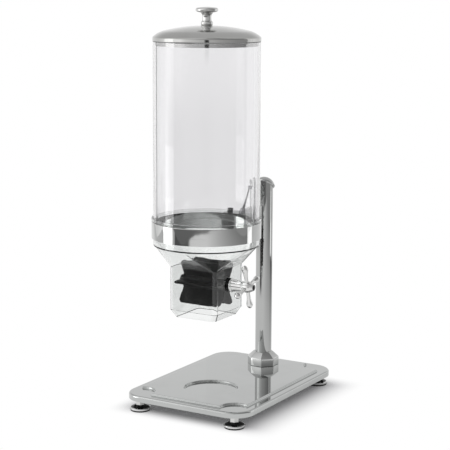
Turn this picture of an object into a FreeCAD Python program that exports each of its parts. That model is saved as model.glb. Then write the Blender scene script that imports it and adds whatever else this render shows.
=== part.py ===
import FreeCAD, Part
import math
import os
import Sketcher
from FreeCAD import Vector

# Gravity bulk food bin: a single cereal dispenser on a pressed steel base.
# Frame: +Z up, millimetres, origin on the ground under the middle of the object.
# The bin stands over the front of the base (-Y); the column stands at the back (+Y).
# The crank spindle lies along X, and its cross handle is on the right (+X).

# ---------------------------------------------------------------- driving dimensions
DIMENSIONS = {
    # pressed base
    "base_width": 232.0,
    "base_depth": 330.0,
    "base_centre_y": 4.0,
    "base_corner_radius": 36.0,
    "base_sheet": 1.0,
    "skirt_bottom": 20.0,
    "ledge_top": 29.6,
    "plateau_top": 33.0,
    "plateau_inset": 15.5,
    "notch_radius": 25.0,
    "rim_round": 3.0,
    "step_round": 1.4,
    "recess_radius": 45.0,
    "recess_y": -64.5,
    # levelling feet
    "foot_inset_x": 26.0,
    "foot_inset_y": 20.0,
    "pad_radius": 16.3,
    "pad_thickness": 3.0,
    "disc_radius": 17.5,
    "disc_rim_top": 6.0,
    "disc_top": 10.0,
    "stud_radius": 4.0,
    "stud_top": 27.5,
    "hex_width": 13.0,
    "hex_thickness": 7.0,
    "weld_nut_thickness": 6.5,
    "running_gap": 0.05,
    # column and its fixing
    "column_y": 114.0,
    "column_radius": 14.3,
    "column_wall": 1.5,
    "column_top": 351.5,
    "mitre_angle": 33.0,
    "cap_radius": 17.2,
    "cap_rim_thickness": 3.0,
    "cap_dome_height": 11.0,
    "cap_plug_radius": 11.2,
    "cap_plug_depth": 4.0,
    "collar_width": 51.0,
    "collar_thickness": 14.0,
    "collar_cone_height": 9.5,
    "collar_top_width": 31.0,
    "plug_height": 30.0,
    "bolt_radius": 5.0,
    "bolt_length": 30.0,
    "bolt_head_width": 16.0,
    "bolt_head_thickness": 6.4,
    "washer_radius": 10.0,
    "washer_thickness": 1.6,
    "backing_width": 70.0,
    "backing_thickness": 3.0,
    # holder ring and support arm
    "bin_y": -80.0,
    "ring_radius": 89.0,
    "ring_wall": 2.5,
    "ring_bottom": 290.0,
    "ring_top": 317.0,
    "lug_width": 40.0,
    "lug_back_y": 30.0,
    "lug_thickness": 6.0,
    "arm_width": 10.0,
    "arm_bottom": 284.0,
    "arm_plate_front_y": 10.0,
    "arm_plate_thickness": 5.0,
    "lug_screw_x": 13.0,
    "lug_screw_y": 22.0,
    "screw_radius": 3.0,
    "screw_head_radius": 5.0,
    "screw_head_height": 6.0,
    "lug_nut_width": 10.0,
    "lug_nut_thickness": 5.0,
    "arm_screw_low": 292.0,
    "arm_screw_high": 308.0,
    "arm_screw_grip": 20.0,
    "arm_screw_head_radius": 5.5,
    "arm_screw_head_height": 3.3,
    # clamping lever on the right-hand lug screw
    "lever_boss_radius": 6.5,
    "lever_boss_height": 8.0,
    "lever_length": 46.0,
    "lever_rise_angle": 50.0,
    "lever_root_radius": 2.9,
    "lever_tip_radius": 2.0,
    # hopper
    "flange_top": 322.5,
    "seat_level": 319.0,
    "seat_radius": 86.4,
    "throat_radius": 86.0,
    "hopper_bore": 82.7,
    "throat_bottom": 277.8,
    "funnel_radius": 84.5,
    "funnel_inner_top": 279.6,
    "funnel_inner_bottom": 244.6,
    "chute_top": 243.5,
    "chute_bottom": 172.5,
    "spout_bottom": 160.0,
    "chute_width": 89.0,
    "chute_depth": 89.0,
    "spout_width": 75.5,
    "spout_depth": 75.5,
    "chute_corner": 8.0,
    "hopper_wall": 2.5,
    # clear bin
    "tube_wall": 3.3,
    "tube_top": 605.0,
    # paddle wheel, spindle and bushes
    "wheel_level": 215.5,
    "wheel_half_length": 38.6,
    "core_radius": 8.5,
    "core_end_radius": 11.0,
    "core_end_length": 2.0,
    "sleeve_radius": 12.0,
    "vane_count": 6.0,
    "vane_angle": 56.0,
    "vane_radius": 41.2,
    "vane_root_thickness": 6.0,
    "vane_tip_thickness": 4.4,
    "vane_fillet": 3.0,
    "drive_width": 8.0,
    "journal_radius": 5.7,
    "tail_radius": 3.9,
    "tail_end": 43.4,
    "bush_flange_radius": 11.2,
    "bush_flange_thickness": 2.4,
    "bush_radius": 8.9,
    "bush_lip_radius": 10.4,
    "bush_lip_thickness": 0.8,
    "tail_bush_radius": 6.4,
    "tail_bush_flange_radius": 8.0,
    "tail_bush_flange_thickness": 2.4,
    # cross handle
    "handle_start": 47.6,
    "handle_radius": 10.6,
    "handle_waist": 70.0,
    "handle_waist_radius": 8.6,
    "handle_hub_radius": 8.9,
    "handle_hub_end": 83.0,
    "handle_tip": 89.0,
    "handle_tip_radius": 5.3,
    "end_plug_radius": 3.9,
    "end_plug_depth": 3.0,
    "end_plug_dome": 1.0,
    "spoke_x": 77.0,
    "spoke_count": 4.0,
    "spoke_angle": 15.0,
    "spoke_root": 6.5,
    "spoke_reach": 38.0,
    "spoke_root_radius": 3.2,
    "spoke_end_radius": 4.8,
    "grub_x": 55.0,
    "grub_radius": 2.0,
    "grub_angle": 150.0,
    # lid
    "lid_radius": 86.6,
    "lid_sheet": 0.9,
    "lid_bottom": 606.0,
    "lid_band_top": 610.5,
    "lid_corner": 3.0,
    "lid_edge_radius": 85.67,
    "lid_edge_top": 612.67,
    "lid_edge_slope": 43.0,
    "lid_bend_radius": 39.5,
    "lid_shoulder_radius": 68.0,
    "lid_shoulder_top": 622.1,
    "lid_shoulder_slope": 13.5,
    "lid_top": 630.0,
    "lid_flat_radius": 8.5,
    "skirt_radius": 82.1,
    "skirt_end": 598.5,
    "skirt_flange_inner": 78.0,
    "knob_foot_radius": 9.2,
    "knob_foot_height": 6.0,
    "knob_neck_radius": 7.5,
    "knob_neck_bottom": 8.4,
    "knob_neck_top": 16.0,
    "knob_flare_radius": 10.6,
    "knob_flare_level": 20.0,
    "knob_under_radius": 15.2,
    "knob_under_level": 21.3,
    "knob_radius": 18.1,
    "knob_rim_level": 24.4,
    "knob_edge_radius": 15.4,
    "knob_edge_level": 28.0,
    "knob_height": 29.5,
    "knob_screw_radius": 2.5,
    "knob_screw_head_radius": 4.5,
    "knob_screw_head_height": 2.4,
    "knob_screw_reach": 14.0,
    "knob_washer_radius": 8.0,
    "knob_washer_thickness": 1.0,
}

doc = FreeCAD.newDocument("gravity_bulk_food_bin")
sheet = doc.addObject("Spreadsheet::Sheet", "dims")
for row, (alias, size) in enumerate(DIMENSIONS.items(), start=1):
    sheet.set("A%d" % row, alias.replace("_", " "))
    sheet.set("B%d" % row, str(size))
    sheet.setAlias("B%d" % row, alias)
doc.recompute()

parts = []


# ---------------------------------------------------------------- helpers
def value(expression):
    """The number that an expression on the sheet gives now."""
    return float(sheet.evalExpression(expression))


def bind(thing, **expressions):
    """Bind properties of an object to expressions on the sheet."""
    for name, expression in expressions.items():
        thing.setExpression(name, expression)
    return thing


def place(thing, x="0", y="0", z="0"):
    """Put an object at a place given by three expressions."""
    thing.setExpression("Placement.Base.x", x)
    thing.setExpression("Placement.Base.y", y)
    thing.setExpression("Placement.Base.z", z)
    return thing


def sub_part(thing, label):
    """Name an object as one of the finished pieces."""
    thing.Label = label
    parts.append(thing)
    return thing


def new_body(label):
    return sub_part(doc.addObject("PartDesign::Body", label + "_body"), label)


def new_sketch(body, role, offset="0"):
    """A sketch on one of the body's own origin planes, moved along its normal."""
    sketch = body.newObject("Sketcher::SketchObject", body.Label + "_sketch")
    plane = [item for item in body.Origin.OriginFeatures if item.Role == role][0]
    sketch.AttachmentSupport = [(plane, "")]
    sketch.MapMode = "FlatFace"
    sketch.setExpression("AttachmentOffset.Base.z", offset)
    return sketch


def constrain(sketch, kind, *arguments, expression):
    """Add a dimensional constraint and bind it to an expression."""
    index = sketch.addConstraint(Sketcher.Constraint(kind, *arguments, value(expression)))
    sketch.setExpression("Constraints[%d]" % index, expression)


def pin(sketch, geometry, point, across, up):
    """Fix a point of the sketch at the distances (across, up) from its origin."""
    for kind, distance, axis in (("DistanceX", across, -2), ("DistanceY", up, -1)):
        if distance == "0":
            sketch.addConstraint(Sketcher.Constraint("PointOnObject", geometry, point, axis))
        else:
            constrain(sketch, kind, -1, 1, geometry, point, expression=distance)


def add_circle(sketch, radius, across="0", up="0"):
    centre = Vector(value(across), value(up), 0)
    index = sketch.addGeometry(Part.Circle(centre, Vector(0, 0, 1), value(radius)))
    constrain(sketch, "Radius", index, expression=radius)
    pin(sketch, index, 3, across, up)


def bent_edge(start, end, radius):
    """Minor arc between two points, which bulges to the right of the way for a positive radius."""
    chord = end - start
    side = math.copysign(1, radius)
    outward = Vector(chord.y, -chord.x, 0).normalize() * side
    centre = (start + end) / 2 - outward * math.sqrt(radius ** 2 - (chord.Length / 2) ** 2)
    angles = [math.atan2(point.y - centre.y, point.x - centre.x) for point in (start, end)]
    first, last = angles if side > 0 else reversed(angles)
    if last < first:
        last += math.tau
    return Part.ArcOfCircle(Part.Circle(centre, Vector(0, 0, 1), abs(radius)), first, last)


def add_outline(sketch, corners):
    """Closed outline. A corner is (across, up), or (across, up, radius) where the edge that
    leaves it is an arc: it bulges to the right of the way round for a positive radius."""
    points = [Vector(value(corner[0]), value(corner[1]), 0) for corner in corners]
    ends = []
    for number, corner in enumerate(corners):
        start = points[number]
        end = points[(number + 1) % len(points)]
        if len(corner) == 2:
            index = sketch.addGeometry(Part.LineSegment(start, end))
            ends.append((index, 1, 2))
            continue
        index = sketch.addGeometry(bent_edge(start, end, value(corner[2])))
        ends.append((index, 1, 2) if value(corner[2]) > 0 else (index, 2, 1))
        constrain(sketch, "Radius", index, expression="abs(%s)" % corner[2])
    for number, corner in enumerate(corners):
        index, first, last = ends[number]
        before, unused, before_last = ends[number - 1]
        sketch.addConstraint(Sketcher.Constraint("Coincident", before, before_last, index, first))
        pin(sketch, index, first, corner[0], corner[1])


def dome(outer, inner, rise):
    """Radius of a sphere on the axis that drops by `rise` between two radii."""
    depth = "(((%s)^2 - (%s)^2 + (%s)^2) / (2 * (%s)))" % (outer, inner, rise, rise)
    return "sqrt((%s)^2 + %s^2)" % (inner, depth)


def rounded_rectangle(half_width, half_depth, corner, centre_up="0"):
    """Corners of a rounded rectangle, counter-clockwise from its lower right corner."""
    right, near = "(%s)" % half_width, "(%s)" % half_depth
    inner_right = "(%s - %s)" % (right, corner)
    inner_near = "(%s - %s)" % (near, corner)
    spots = [(inner_right, "-" + near, corner), (right, "-" + inner_near),
             (right, inner_near, corner), (inner_right, near),
             ("-" + inner_right, near, corner), ("-" + right, inner_near),
             ("-" + right, "-" + inner_near, corner), ("-" + inner_right, "-" + near)]
    if centre_up == "0":
        return spots
    return [(spot[0], "%s + %s" % (centre_up, spot[1])) + tuple(spot[2:]) for spot in spots]


def hexagon(width):
    """Corners of a hexagon with two flats facing the sketch's vertical."""
    return [("%s / sqrt(3) * cos(%d)" % (width, angle), "%s / sqrt(3) * sin(%d)" % (width, angle))
            if angle % 180 else ("%s / sqrt(3) * cos(%d)" % (width, angle), "0")
            for angle in range(0, 360, 60)]


def octagon(width):
    """Corners of an octagon with flats facing both axes of the sketch."""
    corner_radius = "(%s) / 2 / cos(22.5)" % width
    angles = [22.5 + number * 45 for number in range(8)]
    return [("%s * cos(%s)" % (corner_radius, angle), "%s * sin(%s)" % (corner_radius, angle)) for angle in angles]


def pad(body, sketch, length, taper="0"):
    feature = body.newObject("PartDesign::Pad", body.Label + "_pad")
    feature.Profile = sketch
    bind(feature, Length=length, TaperAngle=taper)
    return feature


def pocket(body, sketch, length=None, upward=True, both_ways=False):
    """Cut the sketch out along its normal (upward) or against it; through everything with no length."""
    feature = body.newObject("PartDesign::Pocket", body.Label + "_pocket")
    feature.Profile = sketch
    feature.Reversed = upward
    feature.Midplane = both_ways
    if length is None:
        feature.Type = "ThroughAll"
    else:
        bind(feature, Length=length)
    return feature


def revolve(body, sketch, axis="V_Axis"):
    feature = body.newObject("PartDesign::Revolution", body.Label + "_revolution")
    feature.Profile = sketch
    feature.ReferenceAxis = (sketch, [axis])
    feature.Angle = 360
    return feature


def loft(body, kind, first, last):
    """Ruled loft between two sketches: AdditiveLoft or SubtractiveLoft."""
    feature = body.newObject("PartDesign::" + kind, body.Label + "_loft")
    feature.Profile = first
    feature.Sections = [last]
    feature.Ruled = True
    return feature


def round_edges(body, base, radius, test):
    """Fillet the edges of a feature that pass a test."""
    doc.recompute()
    names = ["Edge%d" % (number + 1) for number, edge in enumerate(base.Shape.Edges) if test(edge)]
    feature = body.newObject("PartDesign::Fillet", body.Label + "_fillet")
    feature.Base = (base, names)
    bind(feature, Radius=radius)
    return feature


def at_level(level, inside=None):
    """Test for edges that lie at one height, and no further than `inside` from the Z axis."""
    height = value(level)

    def test(edge):
        box = edge.BoundBox
        if abs(box.ZMin - height) > 0.01 or abs(box.ZMax - height) > 0.01:
            return False
        return inside is None or inside(edge)

    return test


def turned_part(label, corners, axis="V_Axis"):
    """A body of revolution from one outline in the body's XZ plane."""
    body = new_body(label)
    sketch = new_sketch(body, "XZ_Plane")
    add_outline(sketch, corners)
    revolve(body, sketch, axis)
    return body


def plate_with_hole(label, outline, hole, thickness):
    """A flat piece: an outline in the body's XY plane with one round hole, padded upwards."""
    body = new_body(label)
    sketch = new_sketch(body, "XY_Plane")
    outline(sketch)
    add_circle(sketch, hole)
    pad(body, sketch, thickness)
    return body


# ---------------------------------------------------------------- base
FOOT_X = "(dims.base_width / 2 - dims.foot_inset_x)"
FOOT_Y = "(dims.base_depth / 2 - dims.foot_inset_y)"
CORNERS = [(1, -1), (1, 1), (-1, 1), (-1, -1)]


def notched_rectangle(inset, notch):
    """Corners of the raised field of the base, with a round bay around each foot."""
    half_x = "(dims.base_width / 2 - %s)" % inset
    half_y = "(dims.base_depth / 2 - %s)" % inset
    bay_x = "(%s - sqrt((%s)^2 - (%s - %s)^2))" % (FOOT_X, notch, half_y, FOOT_Y)
    bay_y = "(%s - sqrt((%s)^2 - (%s - %s)^2))" % (FOOT_Y, notch, half_x, FOOT_X)
    bend = "-(%s)" % notch
    return [(half_x, "-" + bay_y), (half_x, bay_y, bend),
            (bay_x, half_y), ("-" + bay_x, half_y, bend),
            ("-" + half_x, bay_y), ("-" + half_x, "-" + bay_y, bend),
            ("-" + bay_x, "-" + half_y), (bay_x, "-" + half_y, bend)]


def make_base():
    """Pressed pan: skirt, ledge, raised field with a bay at each foot, and a round bowl recess."""
    body = place(new_body("base_plate"), y="dims.base_centre_y")
    recess_up = "dims.recess_y - dims.base_centre_y"
    column_up = "dims.column_y - dims.base_centre_y"
    half_width = "dims.base_width / 2"
    half_depth = "dims.base_depth / 2"

    outline = new_sketch(body, "XY_Plane", "dims.skirt_bottom")
    add_outline(outline, rounded_rectangle(half_width, half_depth, "dims.base_corner_radius"))
    slab = pad(body, outline, "dims.ledge_top - dims.skirt_bottom")
    round_edges(body, slab, "dims.rim_round", at_level("dims.ledge_top"))

    field = new_sketch(body, "XY_Plane", "dims.ledge_top")
    add_outline(field, notched_rectangle("dims.plateau_inset", "dims.notch_radius"))
    raised = pad(body, field, "dims.plateau_top - dims.ledge_top")

    recess = new_sketch(body, "XY_Plane", "dims.plateau_top")
    add_circle(recess, "dims.recess_radius", up=recess_up)
    sunk = pocket(body, recess, "dims.plateau_top - dims.ledge_top", upward=False)

    def not_rim(edge):
        box = edge.BoundBox
        return max(box.XMax, -box.XMin) < value(half_width) - value("dims.rim_round") - 1

    softened = round_edges(body, sunk, "dims.step_round", at_level("dims.plateau_top"))
    round_edges(body, softened, "dims.step_round", at_level("dims.ledge_top", not_rim))

    hollow = new_sketch(body, "XY_Plane", "dims.skirt_bottom")
    add_outline(hollow, rounded_rectangle(half_width + " - dims.base_sheet", half_depth + " - dims.base_sheet",
                                          "(dims.base_corner_radius - dims.base_sheet)"))
    pocket(body, hollow, "dims.ledge_top - dims.base_sheet - dims.skirt_bottom")

    upper_hollow = new_sketch(body, "XY_Plane", "dims.ledge_top - dims.base_sheet")
    add_outline(upper_hollow, notched_rectangle("(dims.plateau_inset + dims.base_sheet)",
                                                "(dims.notch_radius + dims.base_sheet)"))
    add_circle(upper_hollow, "dims.recess_radius + dims.base_sheet", up=recess_up)
    pocket(body, upper_hollow, "dims.plateau_top - dims.ledge_top")

    bolt_hole = new_sketch(body, "XY_Plane", "dims.plateau_top")
    add_circle(bolt_hole, "dims.bolt_radius + 0.3", up=column_up)
    pocket(body, bolt_hole, "2 * dims.base_sheet", upward=False)


def make_weld_nuts():
    """Four hexagonal weld nuts under the ledge: one group of separate solids."""
    nuts = []
    for number, (side_x, side_y) in enumerate(CORNERS):
        prism = doc.addObject("Part::Prism", "weld_nut_prism_%d" % number)
        prism.Polygon = 6
        bind(prism, Circumradius="dims.hex_width / sqrt(3)", Height="dims.weld_nut_thickness")
        bore = bind(doc.addObject("Part::Cylinder", "weld_nut_bore_%d" % number),
                    Radius="dims.stud_radius + dims.running_gap", Height="dims.weld_nut_thickness")
        for solid in (prism, bore):
            place(solid, "%d * %s" % (side_x, FOOT_X), "dims.base_centre_y + %d * %s" % (side_y, FOOT_Y),
                  "dims.ledge_top - dims.base_sheet - dims.weld_nut_thickness")
        nut = doc.addObject("Part::Cut", "weld_nut_%d" % number)
        nut.Base = prism
        nut.Tool = bore
        nuts.append(nut)
    group = sub_part(doc.addObject("Part::Compound", "weld_nuts"), "foot_weld_nuts")
    group.Links = nuts


def make_foot(number, side_x, side_y):
    """Levelling foot: threaded stud with a hexagon, domed steel disc and rubber pad."""
    spot = ("%d * %s" % (side_x, FOOT_X), "dims.base_centre_y + %d * %s" % (side_y, FOOT_Y))

    stud = place(new_body("foot_stud_%d" % number), *spot)
    hex_sketch = new_sketch(stud, "XY_Plane", "dims.disc_top")
    add_outline(hex_sketch, hexagon("dims.hex_width"))
    hex_pad = pad(stud, hex_sketch, "dims.hex_thickness")
    shank = new_sketch(stud, "XY_Plane", "dims.disc_rim_top")
    add_circle(shank, "dims.stud_radius")
    shank_pad = pad(stud, shank, "dims.stud_top - dims.disc_rim_top")
    doc.recompute()
    tip = ["Edge%d" % (index + 1) for index, edge in enumerate(shank_pad.Shape.Edges)
           if edge.BoundBox.ZMin > value("dims.stud_top") - 0.01]
    bevel = stud.newObject("PartDesign::Chamfer", "foot_stud_bevel_%d" % number)
    bevel.Base = (shank_pad, tip)
    bind(bevel, Size="dims.stud_radius / 5")
    hex_pad.Label = "foot_hexagon_%d" % number

    disc = turned_part("foot_disc_%d" % number, [
        ("dims.stud_radius", "dims.disc_rim_top"),
        ("dims.stud_radius", "dims.disc_top"),
        ("dims.hex_width / 2 + 1", "dims.disc_top",
         "-" + dome("dims.disc_radius - 1", "dims.hex_width / 2 + 1", "dims.disc_top - dims.disc_rim_top")),
        ("dims.disc_radius - 1", "dims.disc_rim_top", "-1"),
        ("dims.disc_radius", "dims.disc_rim_top - 1"),
        ("dims.disc_radius", "dims.pad_thickness"),
        ("0", "dims.pad_thickness"),
        ("0", "dims.disc_rim_top"),
    ])
    place(disc, *spot)

    sole = turned_part("foot_pad_%d" % number, [
        ("0", "0"),
        ("dims.pad_radius - 0.8", "0", "0.8"),
        ("dims.pad_radius", "0.8"),
        ("dims.pad_radius", "dims.pad_thickness"),
        ("0", "dims.pad_thickness"),
    ])
    place(sole, *spot)


# ---------------------------------------------------------------- column
def make_column():
    """Column tube, mitred at its top so that it slopes down to the back."""
    body = place(new_body("column_tube"), y="dims.column_y")
    ring = new_sketch(body, "XY_Plane", "dims.plateau_top")
    add_circle(ring, "dims.column_radius")
    add_circle(ring, "dims.column_radius - dims.column_wall")
    pad(body, ring, "dims.column_top + dims.column_radius - dims.plateau_top")

    above_mitre = new_sketch(body, "YZ_Plane")
    reach = "2 * dims.column_radius"
    rise = "%s * tan(dims.mitre_angle)" % reach
    add_outline(above_mitre, [("-" + reach, "dims.column_top + " + rise), (reach, "dims.column_top - " + rise),
                              (reach, "dims.column_top + " + reach), ("-" + reach, "dims.column_top + " + reach)])
    pocket(body, above_mitre, both_ways=True)

    screw_holes = new_sketch(body, "XZ_Plane")
    for level in ("dims.arm_screw_low", "dims.arm_screw_high"):
        add_circle(screw_holes, "dims.screw_radius + dims.running_gap", up=level)
    pocket(body, screw_holes, both_ways=True)


def make_column_cap():
    """Domed button that closes the mitred end; its plug sits inside the tube."""
    cap = turned_part("column_cap", [
        ("0", "-dims.cap_plug_depth"),
        ("dims.cap_plug_radius", "-dims.cap_plug_depth"),
        ("dims.cap_plug_radius", "0"),
        ("dims.cap_radius - 0.4", "0", "0.4"),
        ("dims.cap_radius", "0.4"),
        ("dims.cap_radius", "dims.cap_rim_thickness", dome("dims.cap_radius", "0", "dims.cap_dome_height")),
        ("0", "dims.cap_rim_thickness + dims.cap_dome_height"),
    ])
    place(cap, y="dims.column_y", z="dims.column_top")
    cap.Placement.Rotation = FreeCAD.Rotation(Vector(1, 0, 0), -value("dims.mitre_angle"))


def make_column_fixing():
    """Eight-sided collar on the base, and the plug, bolt, washer and backing plate that hold the column."""
    collar = place(new_body("column_collar"), y="dims.column_y", z="dims.plateau_top")
    prism_sketch = new_sketch(collar, "XY_Plane")
    add_outline(prism_sketch, octagon("dims.collar_width"))
    prism = pad(collar, prism_sketch, "dims.collar_thickness")
    round_edges(collar, prism, "1", at_level("0"))
    cone_sketch = new_sketch(collar, "XY_Plane", "dims.collar_thickness")
    add_outline(cone_sketch, octagon("dims.collar_width"))
    pad(collar, cone_sketch, "dims.collar_cone_height",
        "-atan((dims.collar_width - dims.collar_top_width) / 2 / dims.collar_cone_height)")
    bore = new_sketch(collar, "XY_Plane")
    add_circle(bore, "dims.column_radius + dims.running_gap")
    pocket(collar, bore)

    plug = plate_with_hole("column_plug",
                           lambda sketch: add_circle(sketch, "dims.column_radius - dims.column_wall"),
                           "dims.bolt_radius + dims.running_gap", "dims.plug_height")
    place(plug, y="dims.column_y", z="dims.plateau_top")

    backing = plate_with_hole("column_backing_plate",
                              lambda sketch: add_outline(sketch, rounded_rectangle(
                                  "dims.backing_width / 2", "dims.backing_width / 2", "6")),
                              "dims.bolt_radius + 0.3", "dims.backing_thickness")
    under_field = "dims.plateau_top - dims.base_sheet"
    place(backing, y="dims.column_y", z=under_field + " - dims.backing_thickness")

    washer = plate_with_hole("column_bolt_washer", lambda sketch: add_circle(sketch, "dims.washer_radius"),
                             "dims.bolt_radius + 0.3", "dims.washer_thickness")
    head_top = under_field + " - dims.backing_thickness - dims.washer_thickness"
    place(washer, y="dims.column_y", z=head_top)

    bolt = place(new_body("column_bolt"), y="dims.column_y", z=head_top)
    head_sketch = new_sketch(bolt, "XY_Plane", "-dims.bolt_head_thickness")
    add_outline(head_sketch, hexagon("dims.bolt_head_width"))
    pad(bolt, head_sketch, "dims.bolt_head_thickness")
    shank_sketch = new_sketch(bolt, "XY_Plane")
    add_circle(shank_sketch, "dims.bolt_radius")
    pad(bolt, shank_sketch, "dims.bolt_length")


# ---------------------------------------------------------------- ring and arm
def make_ring():
    """Holder ring with a lug at its back that carries it on the arm."""
    body = place(new_body("holder_ring"), y="dims.bin_y")
    lug = new_sketch(body, "XY_Plane", "dims.ring_top - dims.arm_plate_thickness - dims.lug_thickness")
    back = "dims.lug_back_y - dims.bin_y"
    front = "dims.ring_radius - 2 * dims.ring_wall"
    half = "dims.lug_width / 2"
    add_outline(lug, [("-" + half, front), (half, front), (half, back), ("-" + half, back)])
    for side in ("-", ""):
        add_circle(lug, "dims.screw_radius + dims.running_gap", side + "dims.lug_screw_x",
                   "dims.lug_screw_y - dims.bin_y")
    pad(body, lug, "dims.lug_thickness")
    band = new_sketch(body, "XY_Plane", "dims.ring_bottom")
    add_circle(band, "dims.ring_radius")
    pad(body, band, "dims.ring_top - dims.ring_bottom")
    bore = new_sketch(body, "XY_Plane", "dims.ring_bottom")
    add_circle(bore, "dims.ring_radius - dims.ring_wall")
    cut = pocket(body, bore)
    top_edges = at_level("dims.ring_top", lambda edge: edge.BoundBox.XLength > 2 * value("dims.ring_radius") - 1)
    round_edges(body, cut, "0.6", top_edges)


def make_arm():
    """Support arm: an upright blade from the column with a flat plate that lies on the ring's lug."""
    body = new_body("support_arm")
    half = "dims.lug_width / 2"
    plate = new_sketch(body, "XY_Plane", "dims.ring_top - dims.arm_plate_thickness")
    add_outline(plate, [("-" + half, "dims.arm_plate_front_y"), (half, "dims.arm_plate_front_y"),
                        (half, "dims.lug_back_y + 4"), ("-" + half, "dims.lug_back_y + 4")])
    for side in ("-", ""):
        add_circle(plate, "dims.screw_radius + dims.running_gap", side + "dims.lug_screw_x", "dims.lug_screw_y")
    pad(body, plate, "dims.arm_plate_thickness")
    blade = new_sketch(body, "XY_Plane", "dims.arm_bottom")
    thin = "dims.arm_width / 2"
    add_outline(blade, [("-" + thin, "dims.lug_back_y + 0.5"), (thin, "dims.lug_back_y + 0.5"),
                        (thin, "dims.column_y - dims.column_radius / 2"),
                        ("-" + thin, "dims.column_y - dims.column_radius / 2")])
    pad(body, blade, "dims.ring_top - dims.arm_bottom")
    saddle = new_sketch(body, "XY_Plane", "dims.arm_bottom")
    add_circle(saddle, "dims.column_radius", up="dims.column_y")
    pocket(body, saddle)
    screw_holes = new_sketch(body, "XZ_Plane", "-dims.column_y")
    for level in ("dims.arm_screw_low", "dims.arm_screw_high"):
        add_circle(screw_holes, "dims.screw_radius + dims.running_gap", up=level)
    pocket(body, screw_holes, "dims.column_radius + dims.arm_screw_grip")


def make_arm_screws():
    """Two button-head screws from the back of the column into the arm: one group."""
    screws = []
    for name, level in (("low", "dims.arm_screw_low"), ("high", "dims.arm_screw_high")):
        head = bind(doc.addObject("Part::Cylinder", "arm_screw_head_" + name),
                    Radius="dims.arm_screw_head_radius", Height="dims.arm_screw_head_height")
        head.Placement.Rotation = FreeCAD.Rotation(Vector(1, 0, 0), -90)
        place(head, y="dims.column_y + dims.column_radius + dims.running_gap", z=level)
        shank = bind(doc.addObject("Part::Cylinder", "arm_screw_shank_" + name), Radius="dims.screw_radius",
                     Height="2 * dims.column_radius + dims.arm_screw_grip")
        shank.Placement.Rotation = FreeCAD.Rotation(Vector(1, 0, 0), -90)
        place(shank, y="dims.column_y - dims.column_radius - dims.arm_screw_grip + 0.5", z=level)
        screw = doc.addObject("Part::Fuse", "arm_screw_" + name)
        screw.Base = head
        screw.Tool = shank
        screws.append(screw)
    group = sub_part(doc.addObject("Part::Compound", "arm_screw_group"), "arm_screws")
    group.Links = screws


def make_lug_screw():
    """Socket screw on the left of the lug."""
    screw = place(new_body("lug_screw"), "-dims.lug_screw_x", "dims.lug_screw_y", "dims.ring_top")
    head_sketch = new_sketch(screw, "XY_Plane")
    add_circle(head_sketch, "dims.screw_head_radius")
    head = pad(screw, head_sketch, "dims.screw_head_height")
    round_edges(screw, head, "0.8", at_level("dims.screw_head_height"))
    socket = new_sketch(screw, "XY_Plane", "dims.screw_head_height")
    add_outline(socket, hexagon("5"))
    pocket(screw, socket, "dims.screw_head_height / 2", upward=False)
    shank_sketch = new_sketch(screw, "XY_Plane")
    add_circle(shank_sketch, "dims.screw_radius")
    shank = pad(screw, shank_sketch, "dims.arm_plate_thickness + dims.lug_thickness + dims.lug_nut_thickness + 1")
    shank.Reversed = True


def make_lug_nuts():
    """Two nuts under the lug: one group."""
    nuts = []
    for name, side in (("left", "-"), ("right", "")):
        prism = doc.addObject("Part::Prism", "lug_nut_prism_" + name)
        prism.Polygon = 6
        bind(prism, Circumradius="dims.lug_nut_width / sqrt(3)", Height="dims.lug_nut_thickness")
        bore = bind(doc.addObject("Part::Cylinder", "lug_nut_bore_" + name),
                    Radius="dims.screw_radius + dims.running_gap", Height="dims.lug_nut_thickness")
        for solid in (prism, bore):
            place(solid, side + "dims.lug_screw_x", "dims.lug_screw_y",
                  "dims.ring_top - dims.arm_plate_thickness - dims.lug_thickness - dims.lug_nut_thickness")
        nut = doc.addObject("Part::Cut", "lug_nut_" + name)
        nut.Base = prism
        nut.Tool = bore
        nuts.append(nut)
    group = sub_part(doc.addObject("Part::Compound", "lug_nut_group"), "lug_nuts")
    group.Links = nuts


def make_clamp_lever():
    """Clamping lever on the right of the lug: stud, boss and a handle that rises to the back."""
    boss_z = "dims.ring_top"
    boss = bind(doc.addObject("Part::Cone", "lever_boss"), Radius1="dims.lever_boss_radius",
                Radius2="dims.lever_boss_radius - 1.5", Height="dims.lever_boss_height")
    place(boss, "dims.lug_screw_x", "dims.lug_screw_y", boss_z)
    stud_length = "(dims.arm_plate_thickness + dims.lug_thickness + dims.lug_nut_thickness + 1)"
    stud = bind(doc.addObject("Part::Cylinder", "lever_stud"), Radius="dims.screw_radius", Height=stud_length)
    place(stud, "dims.lug_screw_x", "dims.lug_screw_y", boss_z + " - " + stud_length)
    tilt = FreeCAD.Rotation(Vector(1, 0, 0), value("dims.lever_rise_angle") - 90)
    handle_z = boss_z + " + dims.lever_boss_height - dims.lever_root_radius"
    handle = bind(doc.addObject("Part::Cone", "lever_handle"), Radius1="dims.lever_root_radius",
                  Radius2="dims.lever_tip_radius", Height="dims.lever_length")
    handle.Placement.Rotation = tilt
    place(handle, "dims.lug_screw_x", "dims.lug_screw_y", handle_z)
    knob = bind(doc.addObject("Part::Sphere", "lever_end"), Radius="dims.lever_tip_radius * 1.15")
    place(knob, "dims.lug_screw_x",
          "dims.lug_screw_y + dims.lever_length * cos(dims.lever_rise_angle)",
          handle_z + " + dims.lever_length * sin(dims.lever_rise_angle)")
    lever = sub_part(doc.addObject("Part::MultiFuse", "lever_solid"), "clamp_lever")
    lever.Shapes = [boss, stud, handle, knob]


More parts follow.
